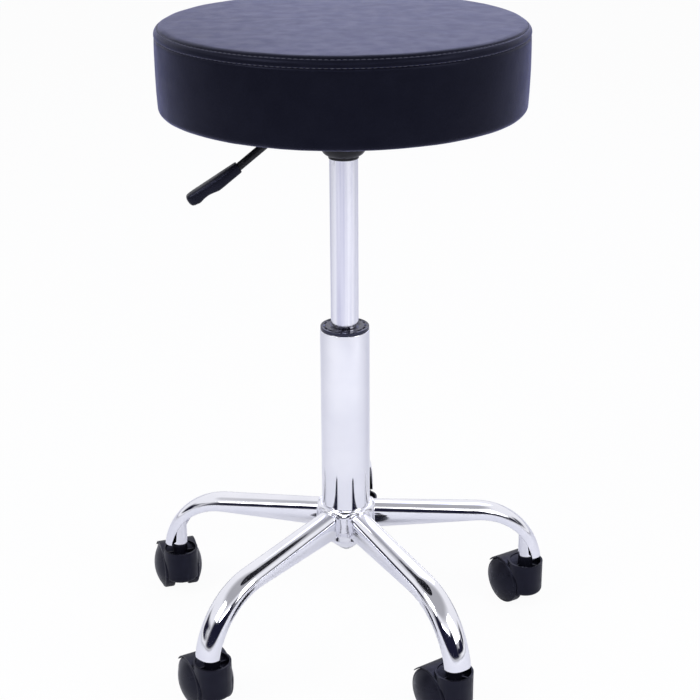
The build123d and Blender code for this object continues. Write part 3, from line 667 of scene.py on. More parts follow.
def skirt_place(r):
    """Height of the walls' lower edge at a distance out from the lift."""
    bend_z = HUB_TOP - SKIRT_DROP - (SKIRT_BEND_START_R - HUB_R) * tan(SKIRT_SLOPE)
    if r <= SKIRT_BEND_START_R:
        return bend_z + (SKIRT_BEND_START_R - r) * tan(SKIRT_SLOPE)
    reach = sin(SKIRT_SLOPE) + (r - SKIRT_BEND_START_R) / SKIRT_BEND_R
    if reach >= sin(SKIRT_BEND_END):
        return -HUB_TOP
    return bend_z - SKIRT_BEND_R * (cos(SKIRT_SLOPE) - sqrt(1 - reach * reach))


def wall_depth(r, z, slope):
    """How far the walls run in from the back before they meet the lower edge."""
    depth = LEG_ARCH
    while depth < 2 * SKIRT_DROP:
        x = r - depth * sin(slope)
        if z - depth * cos(slope) < skirt_place(x):
            return depth
        depth += 0.05
    return depth


def arch_points(half_w, inset):
    """Superellipse back of the channel as (across, below the back), from left to right."""
    power = 2 / LEG_SQUARENESS
    arch = LEG_ARCH - inset
    points = []
    for step in range(-SECTION_STEPS, SECTION_STEPS + 1):
        turn = pi / 2 * step / SECTION_STEPS
        side = 1 if step > 0 else -1
        across = side * half_w * abs(sin(turn)) ** power
        points.append((across, LEG_ARCH - arch * max(cos(turn), 0.0) ** power))
    return points


def channel_section(depth, half_w):
    """Closed outline of the sheet: outside left to right, then inside back again."""
    outer = arch_points(half_w, 0.0)
    inner = arch_points(half_w - LEG_SHEET, LEG_SHEET)
    lip = min(0.5, 0.3 * LEG_SHEET)
    left = [(-half_w, depth - lip), (-half_w + 0.3 * lip, depth - 0.3 * lip), (-half_w + lip, depth)]
    inside_w = half_w - LEG_SHEET
    left += [(-inside_w - lip, depth), (-inside_w - 0.3 * lip, depth - 0.3 * lip), (-inside_w, depth - lip)]
    right = [(-across, below) for across, below in left]
    return outer + right + inner[::-1] + left[::-1]


def leg_shape():
    """Pressed channel along +X, cut square by the hub and level at the tip."""
    total = back_length()
    loops = []
    for step in range(LEG_STEPS + 1):
        run = total * step / LEG_STEPS
        r, z, slope, share = back_place(run)
        half_w = LEG_HUB_HALF_W + share * (LEG_TIP_HALF_W - LEG_HUB_HALF_W)
        loop = []
        for across, below in channel_section(wall_depth(r, z, slope), half_w):
            spot = Vector((r - below * sin(slope), across, z - below * cos(slope)))
            ahead = Vector((cos(slope), 0, -sin(slope)))
            if step == 0:
                reach = sqrt(HUB_R**2 - across**2) - spot.x
                spot += ahead * (reach / ahead.x)
            elif step == LEG_STEPS or spot.z < LEG_TIP:
                spot += ahead * ((spot.z - LEG_TIP) / -ahead.z)
            loop.append(spot)
        loops.append(loop)
    return skin(loops)


def weld_shape():
    """Ground bead where a leg's outside meets the hub, along +X."""
    r, z, slope, _ = back_place(0.0)
    depth = wall_depth(r, z, slope)
    half_w = LEG_HUB_HALF_W + WELD_OUTSIDE
    side = [(half_w, LEG_ARCH + (depth - LEG_ARCH) * i / 8) for i in range(1, 9)]
    outline = [(-a, b) for a, b in side[::-1]] + arch_points(half_w, -0.3) + side
    path = [Vector((sqrt(HUB_R**2 - across**2) + 0.1, across, z - below)) for across, below in outline]
    return tube_on(path, lambda i: WELD_R * (1 + WELD_LUMPS * ripple(path[i], 4.0)), 10)


def hub_shape():
    """Sleeve with a rounded top, built up with weld between the legs and uneven where it was ground."""
    low, top = HUB_LOW.z, HUB_TOP
    outline = [(column_r(low) + HUB_BORE_GAP, low), (HUB_R - HUB_EDGE, low), (HUB_R, low + HUB_EDGE)]
    outline += [(HUB_R, low + (top - HUB_BEAD - low) * i / HUB_ROWS) for i in range(1, HUB_ROWS)]
    outline += arc((HUB_R - HUB_BEAD, top - HUB_BEAD), HUB_BEAD, 0, 90, 8)
    outline += [(COLUMN_R + 0.9, top), (COLUMN_R + HUB_BORE_GAP, top + 0.1)]
    points, faces = lathe(outline, 160)
    for p in points:
        r = hypot(p.x, p.y)
        if r > COLUMN_R + 0.5 and p.z > low + 1:
            between = 0.5 - 0.5 * cos(COUNT * (atan2(p.y, p.x) - pi / 2))
            ends = min(1.0, (p.z - low) / WELD_FADE, (top - p.z) / WELD_FADE)
            grow = 1 + (WELD_FILL * between**2 * ends + HUB_LUMPS * ripple(p, 7.0)) / r
            p.x *= grow
            p.y *= grow
    return points, faces


def eased(corners, reach, steps=5):
    """The same open outline with each inner corner rounded within a distance of it."""
    outline = [corners[0]]
    for before, at, after in zip(corners, corners[1:], corners[2:]):
        a, b, c = Vector(before), Vector(at), Vector(after)
        start = b + (a - b).normalized() * min(reach, (a - b).length / 2)
        end = b + (c - b).normalized() * min(reach, (c - b).length / 2)
        for i in range(steps + 1):
            t = i / steps
            outline.append(tuple(start * (1 - t) ** 2 + b * 2 * t * (1 - t) + end * t * t))
    return outline + [corners[-1]]


def column_shape():
    """Outer tube, drawn in below the hub and coned to a flat foot with the rod's hole."""
    foot = COLUMN_LOW.z
    cone_z = foot + FOOT_HEIGHT
    cone_r = column_r(cone_z)
    rise = atan2(FOOT_HEIGHT, cone_r - FOOT_R)
    inner_r = COLUMN_R - COLUMN_WALL
    corners = [(ROD_HOLE_R, foot), (FOOT_R, foot), (cone_r, cone_z), (COLUMN_R, HUB_TOP)]
    outline = eased(corners, FOOT_EASE)
    outline += [(COLUMN_R, HUB_TOP + 1.0)]
    mouth = (COLUMN_R - COLUMN_MOUTH_EDGE, COLUMN_HIGH.z - COLUMN_MOUTH_EDGE)
    outline += arc(mouth, COLUMN_MOUTH_EDGE, 0, 90, 4)
    outline += [(inner_r, COLUMN_HIGH.z), (inner_r, HUB_TOP)]
    outline += [(cone_r - COLUMN_WALL, cone_z + COLUMN_WALL * tan(pi / 4 - rise / 2))]
    outline += [(FOOT_R - COLUMN_WALL * tan(rise / 2), foot + COLUMN_WALL)]
    outline += [(ROD_HOLE_R, foot + COLUMN_WALL)]
    return lathe(outline, 128)


def socket_top(x, y):
    """Height at which a tube under the leg's back meets the inside of the sheet."""
    best = LEG_TIP
    total = back_length()
    half_w = LEG_TIP_HALF_W - LEG_SHEET / 2
    arch = LEG_ARCH - LEG_SHEET / 2
    below = LEG_ARCH - arch * (1 - min(1.0, abs(y) / half_w) ** LEG_SQUARENESS) ** (1 / LEG_SQUARENESS)
    for step in range(400):
        r, z, slope, _ = back_place(total * step / 400)
        if r - below * sin(slope) <= x:
            best = z - below * cos(slope)
    return best


def socket_shape():
    """Tube on the stem's axis, cut to lie against the inside of the leg, along +X."""
    sides = 40
    rims = ((SOCKET_BORE_R, 0), (SOCKET_TUBE_R, 0), (SOCKET_TUBE_R, 1), (SOCKET_BORE_R, 1))
    loops = [[] for _ in rims]
    for i in range(sides):
        turn = 2 * pi * i / sides
        out = Vector((cos(turn), sin(turn), 0))
        for loop, (radius, at_top) in zip(loops, rims):
            spot = Vector((STEM_CIRCLE_R, 0, 0)) + out * radius
            spot.z = socket_top(spot.x, spot.y) if at_top else LEG_TIP
            loop.append(spot)
    return skin(loops, wrap=True)


def build_base(chrome, welded, moulded):
    piece("column", column_shape(), "base", chrome, ["column_tube"])
    turns = [turn_z(pi / 2 + 2 * pi * i / COUNT) for i in range(COUNT)]
    beads = [moved(weld_shape(), turn) for turn in turns]
    piece("welded_hub", merged(hub_shape(), *beads), "base", welded, ["hub_sleeve"], 60)
    leg = leg_shape()
    for i, turn in zip(INDEXES, turns):
        piece(f"bent_leg_{i}", moved(leg, turn), "base", chrome, [f"leg_{i}"], 50)
    sockets = merged(*[moved(socket_shape(), turn) for turn in turns])
    piece("stem_sockets", sockets, "base", chrome, ["caster_sockets"])
    piece("column_bush", bush_shape(), "base", moulded, ["guide_bush"], 30)


# ---- Lift ------------------------------------------------------------------------------
def bush_shape():
    """Collar and sleeve with a ring of short slots in the collar's face."""
    bore = TUBE_R + BUSH_BORE_GAP
    sleeve = COLUMN_R - COLUMN_WALL
    low, seat, top = BUSH_LOW.z, COLUMN_HIGH.z, BUSH_HIGH.z
    dish = top - BUSH_DISH
    edge = BUSH_HIGH.x
    inner = BUSH_SLOT_R - BUSH_SLOT_W / 2
    outer = BUSH_SLOT_R + BUSH_SLOT_W / 2
    outline = [(bore, low), (sleeve, low), (sleeve, seat), (edge, seat)]
    outline += arc((edge - BUSH_EDGE, top - BUSH_EDGE), BUSH_EDGE, 0, 90, 4)
    outline += [(outer + 1.4, top), (outer + 1.2, dish), (outer + 0.15, dish)]
    face_start = len(outline)
    outline += [(outer, dish), (inner, dish), (inner - 0.15, dish), (inner - 0.4, top)]
    outline += [(bore + 2.0, top), (bore + 0.8, top - 0.9), (bore, top - 1.0)]
    per_slot = 12
    segments = BUSH_SLOTS * per_slot
    points, faces = lathe(outline, segments)
    for ring in (face_start, face_start + 1):
        for i in range(segments):
            if i % per_slot < BUSH_SLOT_SHARE * per_slot:
                points[ring * segments + i].z -= BUSH_SLOT_DEPTH
    return points, faces


def pressure_tube_shape():
    low, top = TUBE_LOW.z, TUBE_HIGH.z
    tip_r = TUBE_R - TAPER * (top - TAPER_START)
    inner = TUBE_R - TUBE_WALL
    outline = [(inner, low), (TUBE_R - TUBE_EDGE, low), (TUBE_R, low + TUBE_EDGE), (TUBE_R, TAPER_START)]
    outline += [(tip_r, top - TUBE_TIP_EDGE), (tip_r - TUBE_TIP_EDGE, top), (inner, top)]
    return lathe(outline, 96)


def socket_bowl_shape():
    """Lipped bowl round the tube's taper, flanged under the channel."""
    low, top = SOCKET_LOW.z, SOCKET_HIGH.z
    bowl_z = low + SOCKET_LIP_H
    flange_top = PLATE_LOW.z - SKIN_GAP
    flange_low = PLATE_LOW.z - SOCKET_FLANGE_T
    flange_r = SOCKET_HIGH.x
    bore_top = TUBE_R - TAPER * (top - low)
    outline = [(TUBE_R + SKIN_GAP, low)]
    outline += arc((SOCKET_LIP_R - SOCKET_LIP_EDGE, low + SOCKET_LIP_EDGE), SOCKET_LIP_EDGE, -90, 0, 3)
    bowl_start_r = SOCKET_LIP_R + SOCKET_LIP_FLARE
    outline += [(SOCKET_LIP_R, bowl_z - SOCKET_LIP_FLARE), (bowl_start_r, bowl_z)]
    centre_r = SOCKET_BOWL_R - SOCKET_BOWL_EDGE
    start = acos((bowl_start_r - centre_r) / SOCKET_BOWL_EDGE)
    centre = (centre_r, bowl_z + SOCKET_BOWL_EDGE * sin(start))
    outline += arc(centre, SOCKET_BOWL_EDGE, -degrees(start), 0, 14)[1:]
    outline += [(SOCKET_BOWL_R, flange_low - SOCKET_CORNER), (SOCKET_BOWL_R + SOCKET_CORNER, flange_low)]
    outline += [(flange_r, flange_low), (flange_r, flange_top), (SOCKET_NECK_R, flange_top)]
    outline += [(SOCKET_NECK_R, top), (bore_top + SKIN_GAP, top)]
    return lathe(outline, 96)


def build_lift(satin, powder):
    piece("lift_tube", pressure_tube_shape(), "seat", satin, ["pressure_tube"])
    piece("socket_bowl", socket_bowl_shape(), "seat", powder, ["taper_socket"], 35)


# ---- Lever -----------------------------------------------------------------------------
def lever_line():
    """Corners of the lever in its own upright plane, as (out, height)."""
    bend = (LEVER_BEND_AT, PIVOT.z)
    grip = (bend[0] + LEVER_RUN * cos(LEVER_DROP), bend[1] - LEVER_RUN * sin(LEVER_DROP))
    end = (grip[0] + LEVER_IN_GRIP * cos(GRIP_DROP), grip[1] - LEVER_IN_GRIP * sin(GRIP_DROP))
    return (-LEVER_INNER_END, PIVOT.z), bend, grip, end


def rounded_path(corners, radius, steps=10):
    """Straight runs joined by arcs, as points in the XZ plane."""
    path = [Vector((corners[0][0], 0, corners[0][1]))]
    for before, at, after in zip(corners, corners[1:], corners[2:]):
        a, b, c = (Vector((p[0], 0, p[1])) for p in (before, at, after))
        u, v = (a - b).normalized(), (c - b).normalized()
        half = u.angle(v) / 2
        reach = radius / tan(half)
        centre = b + (u + v).normalized() * (radius / sin(half))
        first, last = b + u * reach - centre, b + v * reach - centre
        turn = first.angle(last) * (1 if first.cross(last).y > 0 else -1)
        path += [centre + Matrix.Rotation(turn * i / steps, 3, "Y") @ first for i in range(steps + 1)]
    path.append(Vector((corners[-1][0], 0, corners[-1][1])))
    return path


def on_pivot(outline, segments, closed):
    """Turn (radius, place along it) points about the lever's pivot."""
    place = shift(PIVOT_OUT, 0, PIVOT.z) @ Matrix.Rotation(pi / 2, 4, "X")
    return moved(lathe(outline, segments, closed), place)


def lever_rod_shape():
    """Bent rod with a domed inner end and the pivot's sleeve across it."""
    path = rounded_path(lever_line(), LEVER_BEND_R)
    nose = [path[0] + Vector((LEVER_R * (1 - cos(t)), 0, 0)) for t in NOSE_TURNS]
    path = nose + path[1:]
    radii = [LEVER_R * sin(t) for t in NOSE_TURNS]
    radii += [LEVER_R] * (len(path) - len(radii))
    rod = tube_on(path, lambda i: radii[i], 24)
    half, edge = SLEEVE_HALF, SLEEVE_EDGE
    outline = [(SLEEVE_BORE_R, -half), (SLEEVE_R - edge, -half), (SLEEVE_R, -half + edge)]
    outline += [(SLEEVE_R, half - edge), (SLEEVE_R - edge, half), (SLEEVE_BORE_R, half)]
    return merged(rod, on_pivot(outline, 40, True))


def grip_section(half_t, half_w, sides=36):
    """Superellipse in the grip's own section."""
    power = 2 / GRIP_SQUARENESS
    loop = []
    for i in range(sides):
        turn = 2 * pi * i / sides
        across = half_w * abs(cos(turn)) ** power * (1 if cos(turn) > 0 else -1)
        up = half_t * abs(sin(turn)) ** power * (1 if sin(turn) > 0 else -1)
        loop.append((across, up))
    return loop


def smooth_between(values, t):
    """Catmull-Rom value at t on evenly counted knots."""
    i = min(int(t), len(values) - 2)
    u = t - i
    a, b = values[max(i - 1, 0)], values[i]
    c, d = values[i + 1], values[min(i + 2, len(values) - 1)]
    square, cube = 2 * a - 5 * b + 4 * c - d, 3 * b - a - 3 * c + d
    return 0.5 * (2 * b + (c - a) * u + square * u * u + cube * u**3)


def grip_shape():
    x, z = lever_line()[2]
    loops = []
    between = 4
    for step in range(between * (len(GRIP_SHAPE) - 1) + 1):
        knots = zip(*GRIP_SHAPE)
        along, middle, half_t, half_w = (smooth_between(knot, step / between) for knot in knots)
        loop = []
        for across, up in grip_section(half_t, half_w):
            high = middle + up
            out = along * cos(GRIP_DROP) + high * sin(GRIP_DROP)
            rise = high * cos(GRIP_DROP) - along * sin(GRIP_DROP)
            loop.append(Vector((x + out, across, z + rise)))
        loops.append(loop)
    return skin(loops)


def pivot_shape():
    """Riveted pin with domed heads."""
    half, thick = PIVOT_HALF, PIVOT_HEAD_T
    head = [(0, half + thick), (2.4, half + thick), (3.6, half + 0.8 * thick), (PIVOT_HEAD_R, half)]
    head += [(PIVOT_R, half)]
    return on_pivot([(r, -along) for r, along in head] + head[::-1], 32, False)


def build_lever(powder, plastic, zinc):
    turn = turn_z(LEVER_HEADING)
    piece("release_rod", moved(lever_rod_shape(), turn), "lever", powder, ["lever_rod"], 50)
    piece("release_grip", moved(grip_shape(), turn), "lever", plastic, ["lever_grip"], 60)
    piece("pivot_rivet", moved(pivot_shape(), turn), "seat", zinc, ["lever_pivot"])


# ---- Casters ---------------------------------------------------------------------------
def y_cylinder(radius, near, far, sides=96):
    """Cylinder about the axle, in the caster's frame."""
    outline = [(0, near), (radius, near), (radius, far), (0, far)]
    placed = shift(-WHEEL_TRAIL, 0, WHEEL_R) @ Matrix.Rotation(-pi / 2, 4, "X")
    return moved(lathe(outline, sides, closed=False), placed)


def z_cylinder(radius, low, high, sides=96):
    return lathe([(0, low), (radius, low), (radius, high), (0, high)], sides, closed=False)


def prism(points, half_width):
    """Polygon in XZ, extended to each side along Y."""
    loops = [[Vector((x, side * half_width, z)) for x, z in points] for side in (-1, 1)]
    return skin(loops)


def upright(points, low, high):
    """Polygon in XY, raised from one height to another."""
    return skin([[Vector((x, y, z)) for x, y in points] for z in (low, high)])


def cut_with(target, operation, *tools):
    """Apply boolean operations, each with a shape or an object that is then thrown away."""
    for tool in tools:
        if isinstance(tool, tuple):
            tool = new_mesh("tool", tool)
        change = target.modifiers.new("change", "BOOLEAN")
        change.operation = operation
        change.solver = "MANIFOLD"
        change.object = tool
        apply_modifiers(target)
        bpy.data.objects.remove(tool)


def apply_modifiers(obj):
    """Replace the mesh by what its modifiers make of it."""
    graph = bpy.context.evaluated_depsgraph_get()
    made = bpy.data.meshes.new_from_object(obj.evaluated_get(graph))
    obj.modifiers.clear()
    obj.data = made


def bevel(obj, width, angle):
    """Round the edges sharper than an angle in degrees."""
    edge = obj.modifiers.new("edge", "BEVEL")
    edge.width = width * MM
    edge.segments = 2
    edge.limit_method = "ANGLE"
    edge.angle_limit = radians(angle)


def hood_object():
    """Arched cover over both wheels, cut to its plan."""
    reach = 2 * HOOD_R
    lift = reach * tan(HOOD_REAR_ANGLE)
    ahead, behind = reach - WHEEL_TRAIL, -reach - WHEEL_TRAIL
    hood = new_mesh("hood", y_cylinder(HOOD_R, -CUP_R - HOOD_HALF_W, CUP_R + HOOD_HALF_W, 128))
    below = [(-WHEEL_TRAIL, WHEEL_R), (behind, WHEEL_R + lift), (behind, -reach)]
    below += [(ahead, -reach), (ahead, CUP_BOTTOM), (-WHEEL_TRAIL, CUP_BOTTOM)]
    cut_with(hood, "DIFFERENCE", prism(below, reach))
    thinned = moved(y_cylinder(HOOD_R + 0.2, -reach, reach, 128), shift(HOOD_TIP_THINNED, 0, 0))
    cut_with(hood, "INTERSECT", thinned)
    plan = [(behind, -HOOD_HALF_W), (-SHOULDER_BACK, -HOOD_HALF_W)]
    plan += arc((0, 0), CUP_R - PLAN_IN, -90, 90, 24)
    plan += [(-SHOULDER_BACK, HOOD_HALF_W), (behind, HOOD_HALF_W)]
    cut_with(hood, "INTERSECT", upright(plan, -HOOD_R, 2 * CUP_RIM))
    return hood


def cup_object():
    """Room inside the barrel, between the hood and the ribs."""
    room = new_mesh("hollow", z_cylinder(CUP_R - CUP_WALL, CUP_FLOOR, CUP_RIM + HOOD_R))
    cut_with(room, "DIFFERENCE", y_cylinder(HOOD_R, -2 * HOOD_R, 2 * HOOD_R, 128))
    rib = prism(((0, 0), (CUP_R, 0), (CUP_R, CUP_RIB_TOP), (0, CUP_RIB_TOP)), CUP_RIB_T / 2)
    pitch = 2 * pi / CUP_RIBS
    cut_with(room, "DIFFERENCE", *[moved(rib, turn_z(pitch * (i + 0.5))) for i in range(CUP_RIBS)])
    return room


def housing_object():
    """Barrel, hood and web of one caster, with moulded edges."""
    edge_middle = (CUP_R - CUP_BOTTOM_EDGE, CUP_BOTTOM + CUP_BOTTOM_EDGE)
    outline = [(0, CUP_BOTTOM)] + arc(edge_middle, CUP_BOTTOM_EDGE, -90, 0, 8)
    outline += [(CUP_R, CUP_RIM), (0, CUP_RIM)]
    body = new_mesh("housing", lathe(outline, 96, closed=False))
    cut_with(body, "UNION", hood_object(), y_cylinder(AXLE_BOSS_R, -WHEEL_OUT, WHEEL_OUT, 48))
    wheel_rooms = ((WEB_HALF_W, 2 * HOOD_R), (-2 * HOOD_R, -WEB_HALF_W))
    cut_with(body, "DIFFERENCE", *[y_cylinder(HOOD_IN_R, *room, 128) for room in wheel_rooms])
    cut_with(body, "DIFFERENCE", cup_object())
    cut_with(body, "UNION", z_cylinder(BOSS_R, CUP_FLOOR - 1.0, BOSS_TOP, 48))
    cut_with(body, "DIFFERENCE", z_cylinder(PIN_BORE_R, PIN_BORE_BOTTOM, 2 * BOSS_TOP, 32))
    bevel(body, MOULD_EDGE, 32)
    apply_modifiers(body)
    body.data.shade_smooth()
    body.data.set_sharp_from_angle(angle=radians(35))
    return body


def wheel_shape():
    """Tread, rounded edge and dome, hollow behind."""
    dome_r = WHEEL_R - WHEEL_EDGE
    outline = arc((dome_r, WHEEL_OUT - WHEEL_EDGE), WHEEL_EDGE, 0, 90, 8)
    sphere_r = (dome_r**2 + WHEEL_DOME**2) / (2 * WHEEL_DOME)
    for i in range(1, WHEEL_DOME_STEPS + 1):
        r = dome_r * (1 - i / WHEEL_DOME_STEPS)
        outline.append((r, WHEEL_OUT + sqrt(sphere_r**2 - r**2) - (sphere_r - WHEEL_DOME)))
    bore_r, bore_end = AXLE_R + WHEEL_BORE_GAP, WHEEL_IN + WHEEL_BORE_DEPTH
    tread_in = WHEEL_R - WHEEL_WALL
    back = WHEEL_OUT - WHEEL_WALL
    inside = [(0, bore_end), (bore_r, bore_end), (bore_r, WHEEL_IN), (WHEEL_HUB_R, WHEEL_IN)]
    inside += [(WHEEL_HUB_R, back), (tread_in, back), (tread_in, WHEEL_IN), (WHEEL_R - WHEEL_BACK_EDGE, WHEEL_IN)]
    inside += [(WHEEL_R, WHEEL_IN + WHEEL_BACK_EDGE), (WHEEL_R, WHEEL_OUT - WHEEL_EDGE - WHEEL_TREAD_GAP)]
    return lathe(inside + outline, 112, closed=False)


def stem_shape():
    """Plated stem: barrel with the grip ring's groove, flange and the pin below it."""
    low, top = STEM_LOW.z, STEM_HIGH.z
    flange, groove_r = LEG_TIP - STEM_FLANGE_T, STEM_R - RING_GROOVE
    edge, seat = STEM_FLANGE_EDGE, LEG_TIP - SKIN_GAP
    outline = [(0, low), (STEM_PIN_R - STEM_EDGE, low), (STEM_PIN_R, low + STEM_EDGE)]
    outline += [(STEM_PIN_R, flange), (STEM_FLANGE_R - edge, flange), (STEM_FLANGE_R, flange + edge)]
    outline += [(STEM_FLANGE_R, LEG_TIP - edge), (STEM_FLANGE_R - edge, seat), (STEM_R, seat)]
    outline += [(STEM_R, top - RING_GROOVE_FROM), (groove_r, top - RING_GROOVE_FROM)]
    outline += [(groove_r, top - RING_GROOVE_TO), (STEM_R, top - RING_GROOVE_TO)]
    outline += [(STEM_R, top - STEM_TOP_EDGE), (STEM_R - STEM_TOP_EDGE, top), (0, top)]
    return lathe(outline, 40, closed=False)


def caster_place(i):
    """Where caster i stands and how it is turned, from its joints."""
    stem = JOINTS[f"caster_swivel_{i}"]["pos_m"]
    axis = JOINTS[f"left_wheel_spin_{i}"]["axis"]
    return Matrix.Translation((stem[0], stem[1], 0)) @ turn_z(atan2(-axis[0], axis[1]))


def twin(name, source, place):
    """Another object with the same mesh at another place."""
    obj = new_object(name, source)
    obj.matrix_world = place
    return obj


def build_casters(plastic, wheel_plastic, chrome, zinc):
    housing = housing_object()
    wheel = new_mesh("wheel", wheel_shape(), 30)
    stem = new_mesh("stem", stem_shape(), 40)
    wheel_turn = {
        side: shift(-WHEEL_TRAIL * MM, 0, WHEEL_R * MM) @ Matrix.Rotation(turn, 4, "X")
        for side, turn in (("left", -pi / 2), ("right", pi / 2))
    }
    for i in INDEXES:
        place = caster_place(i)
        body = twin(f"hooded_housing_{i}", housing.data, place)
        fit(body, f"caster_{i}", plastic, [f"caster_housing_{i}"])
        pin = twin(f"plated_stem_{i}", stem.data, place)
        fit(pin, "base", chrome, [f"caster_stem_{i}"])
        for side, turn in wheel_turn.items():
            disc = twin(f"domed_wheel_{side}_{i}", wheel.data, place @ turn)
            fit(disc, f"{side}_wheel_{i}", wheel_plastic, [f"wheel_{side}_{i}"])
    for source in (housing, wheel, stem):
        bpy.data.objects.remove(source)


# ---- Seat ------------------------------------------------------------------------------
def stitch_rows():
    """The two topstitched rows as (radius, height, outward tilt)."""
    tilts = (STITCH_ROW_ANGLE, 0.0)
    r, z = EDGE_MIDDLE_R, EDGE_MIDDLE_Z
    return [(r + SEAT_TOP_EDGE * cos(tilt), z + SEAT_TOP_EDGE * sin(tilt), tilt) for tilt in tilts]


def cover_outline():
    """Outside of the cover from the middle of the top to the hem, with its rows' indexes."""
    middle = (EDGE_MIDDLE_R, EDGE_MIDDLE_Z)
    upper = degrees(STITCH_ROW_ANGLE)
    shares = [i / TOP_STEPS for i in range(TOP_STEPS + 1)]
    outline = [(EDGE_MIDDLE_R * share, SEAT_EDGE + SEAT_CROWN * (1 - share**2)) for share in shares]
    outline += arc(middle, SEAT_TOP_EDGE, 90, upper, EDGE_STEPS)[1:]
    rows = [len(outline) - 1]
    outline += arc(middle, SEAT_TOP_EDGE, upper, 0, STRIP_STEPS)[1:]
    rows.append(len(outline) - 1)
    low_r = SEAT_R - SIDE_DRAW_IN
    low_z = SEAT_BOTTOM + SEAT_LOWER_EDGE
    for i in range(1, SIDE_STEPS + 1):
        share = i / SIDE_STEPS
        r = SEAT_R + (low_r - SEAT_R) * share**2 + SIDE_BULGE * sin(pi * share)
        outline.append((r, EDGE_MIDDLE_Z + (low_z - EDGE_MIDDLE_Z) * share))
    edge_r = low_r - SEAT_LOWER_EDGE
    outline += arc((edge_r, low_z), SEAT_LOWER_EDGE, 0, -90, 8)[1:]
    hem_r = DUST_HIGH.x + HEM_GAP
    outline += [(edge_r + (hem_r - edge_r) * i / 6, SEAT_BOTTOM) for i in range(1, 7)]
    return outline, rows


def cover_tilt(ring, r, z, rows):
    """Angle at which the cover faces outward, above the level."""
    if ring <= rows[0] and r <= EDGE_MIDDLE_R:
        return radians(90)
    if ring <= rows[0] or z >= EDGE_MIDDLE_Z:
        return atan2(z - EDGE_MIDDLE_Z, r - EDGE_MIDDLE_R)
    if ring <= rows[1] + SIDE_STEPS:
        return 0.0
    return radians(-90) if r < SEAT_R - SIDE_DRAW_IN - SEAT_LOWER_EDGE else radians(-45)


def soften(points, outline, rows):
    """Groove the stitched rows, puff the strip between them and let the cloth wander a little."""
    first, last = rows
    for index, p in enumerate(points):
        ring = (index - 1) // SEAT_SEGMENTS + 1 if index else 0
        r, z = outline[ring]
        if r < 1:
            continue
        out = Vector((p.x, p.y, 0)).normalized()
        turn = atan2(p.y, p.x)
        tilt = cover_tilt(ring, r, z, rows)
        amount = sum(depth * ripple(p, size, seed) for depth, size, seed in COVER_WAVES)
        if ring in rows:
            amount = -ROW_GROOVE
        elif first < ring < last:
            amount += STRIP_PUFF * sin(pi * (ring - first) / (last - first))
        else:
            near = 1 - (ring - last) / 7 if ring > last else 1 - (first - ring) / 5
            pucker = sin(turn * SEAT_R / (STITCH_PITCH * 1.7) + 3 * ripple(out * 50, 20.0))
            amount += PUCKER * pucker * max(0.0, near)
        if z <= SEAT_BOTTOM + 0.1:
            amount += HEM_PLEAT * sin(turn * HEM_PLEATS + 2 * ripple(out * 90, 30.0))
        p += (out * cos(tilt) + Vector((0, 0, sin(tilt)))) * amount


def stitches(row, sag):
    """A ring of short thread loops lying in their groove."""
    r, z, tilt = row
    count = int(2 * pi * r / STITCH_PITCH)
    shapes = []
    for i in range(count):
        middle = 2 * pi * i / count
        path = []
        for step in range(7):
            t = step / 6 - 0.5
            turn = middle + t * STITCH_LENGTH / r
            lift = sag + STITCH_RISE * cos(pi * t) + 0.04 * ripple((i, t, z), 1.7)
            out = Vector((cos(turn), sin(turn), 0))
            path.append(out * (r + lift * cos(tilt)) + Vector((0, 0, z + lift * sin(tilt))))
        shapes.append(tube_on(path, lambda k: STITCH_R * STITCH_TAPER[k], 6))
    return merged(*shapes)


def staples():
    """Staples through the cover's hem into the board, each a flat wire bridge set a little askew."""
    shapes = []
    half, wire = STAPLE_HALF, STAPLE_WIRE_R
    side = [(-half, STAPLE_LEG), (-half, 0.3), (-half + 0.6, -wire)]
    path = [Vector((0, along, up)) for along, up in side + [(-a, up) for a, up in side[::-1]]]
    bridge = tube_on(path, wire, 6)
    for i in range(STAPLE_COUNT):
        turn = 2 * pi * (i + 0.3 * ripple((i, 3, 1), 1.3)) / STAPLE_COUNT
        r = DUST_HIGH.x + STAPLE_OUT + 1.5 * ripple((i, 7, 2), 1.7)
        skew = 0.25 * ripple((i, 1, 9), 1.9)
        shapes.append(moved(bridge, turn_z(turn) @ shift(r, 0, SEAT_BOTTOM) @ turn_z(skew)))
    return merged(*shapes)


def foam_outline(outline, rows):
    """The cover's outline drawn in, down to its side's end, and then round the board."""
    under_top = SEAT_EDGE - 20.0
    side_end = rows[1] + SIDE_STEPS + 1
    foam = [(max(r - FOAM_IN, 0), z - FOAM_IN if z > under_top else z) for r, z in outline[:side_end]]
    board_r, board_z = BOARD_HIGH.x + 0.1, BOARD_HIGH.z + 0.05
    foam_low = FOAM_LOW.z + 0.5
    return foam + [(foam[-1][0], foam_low), (board_r, foam_low), (board_r, board_z), (0, board_z)]


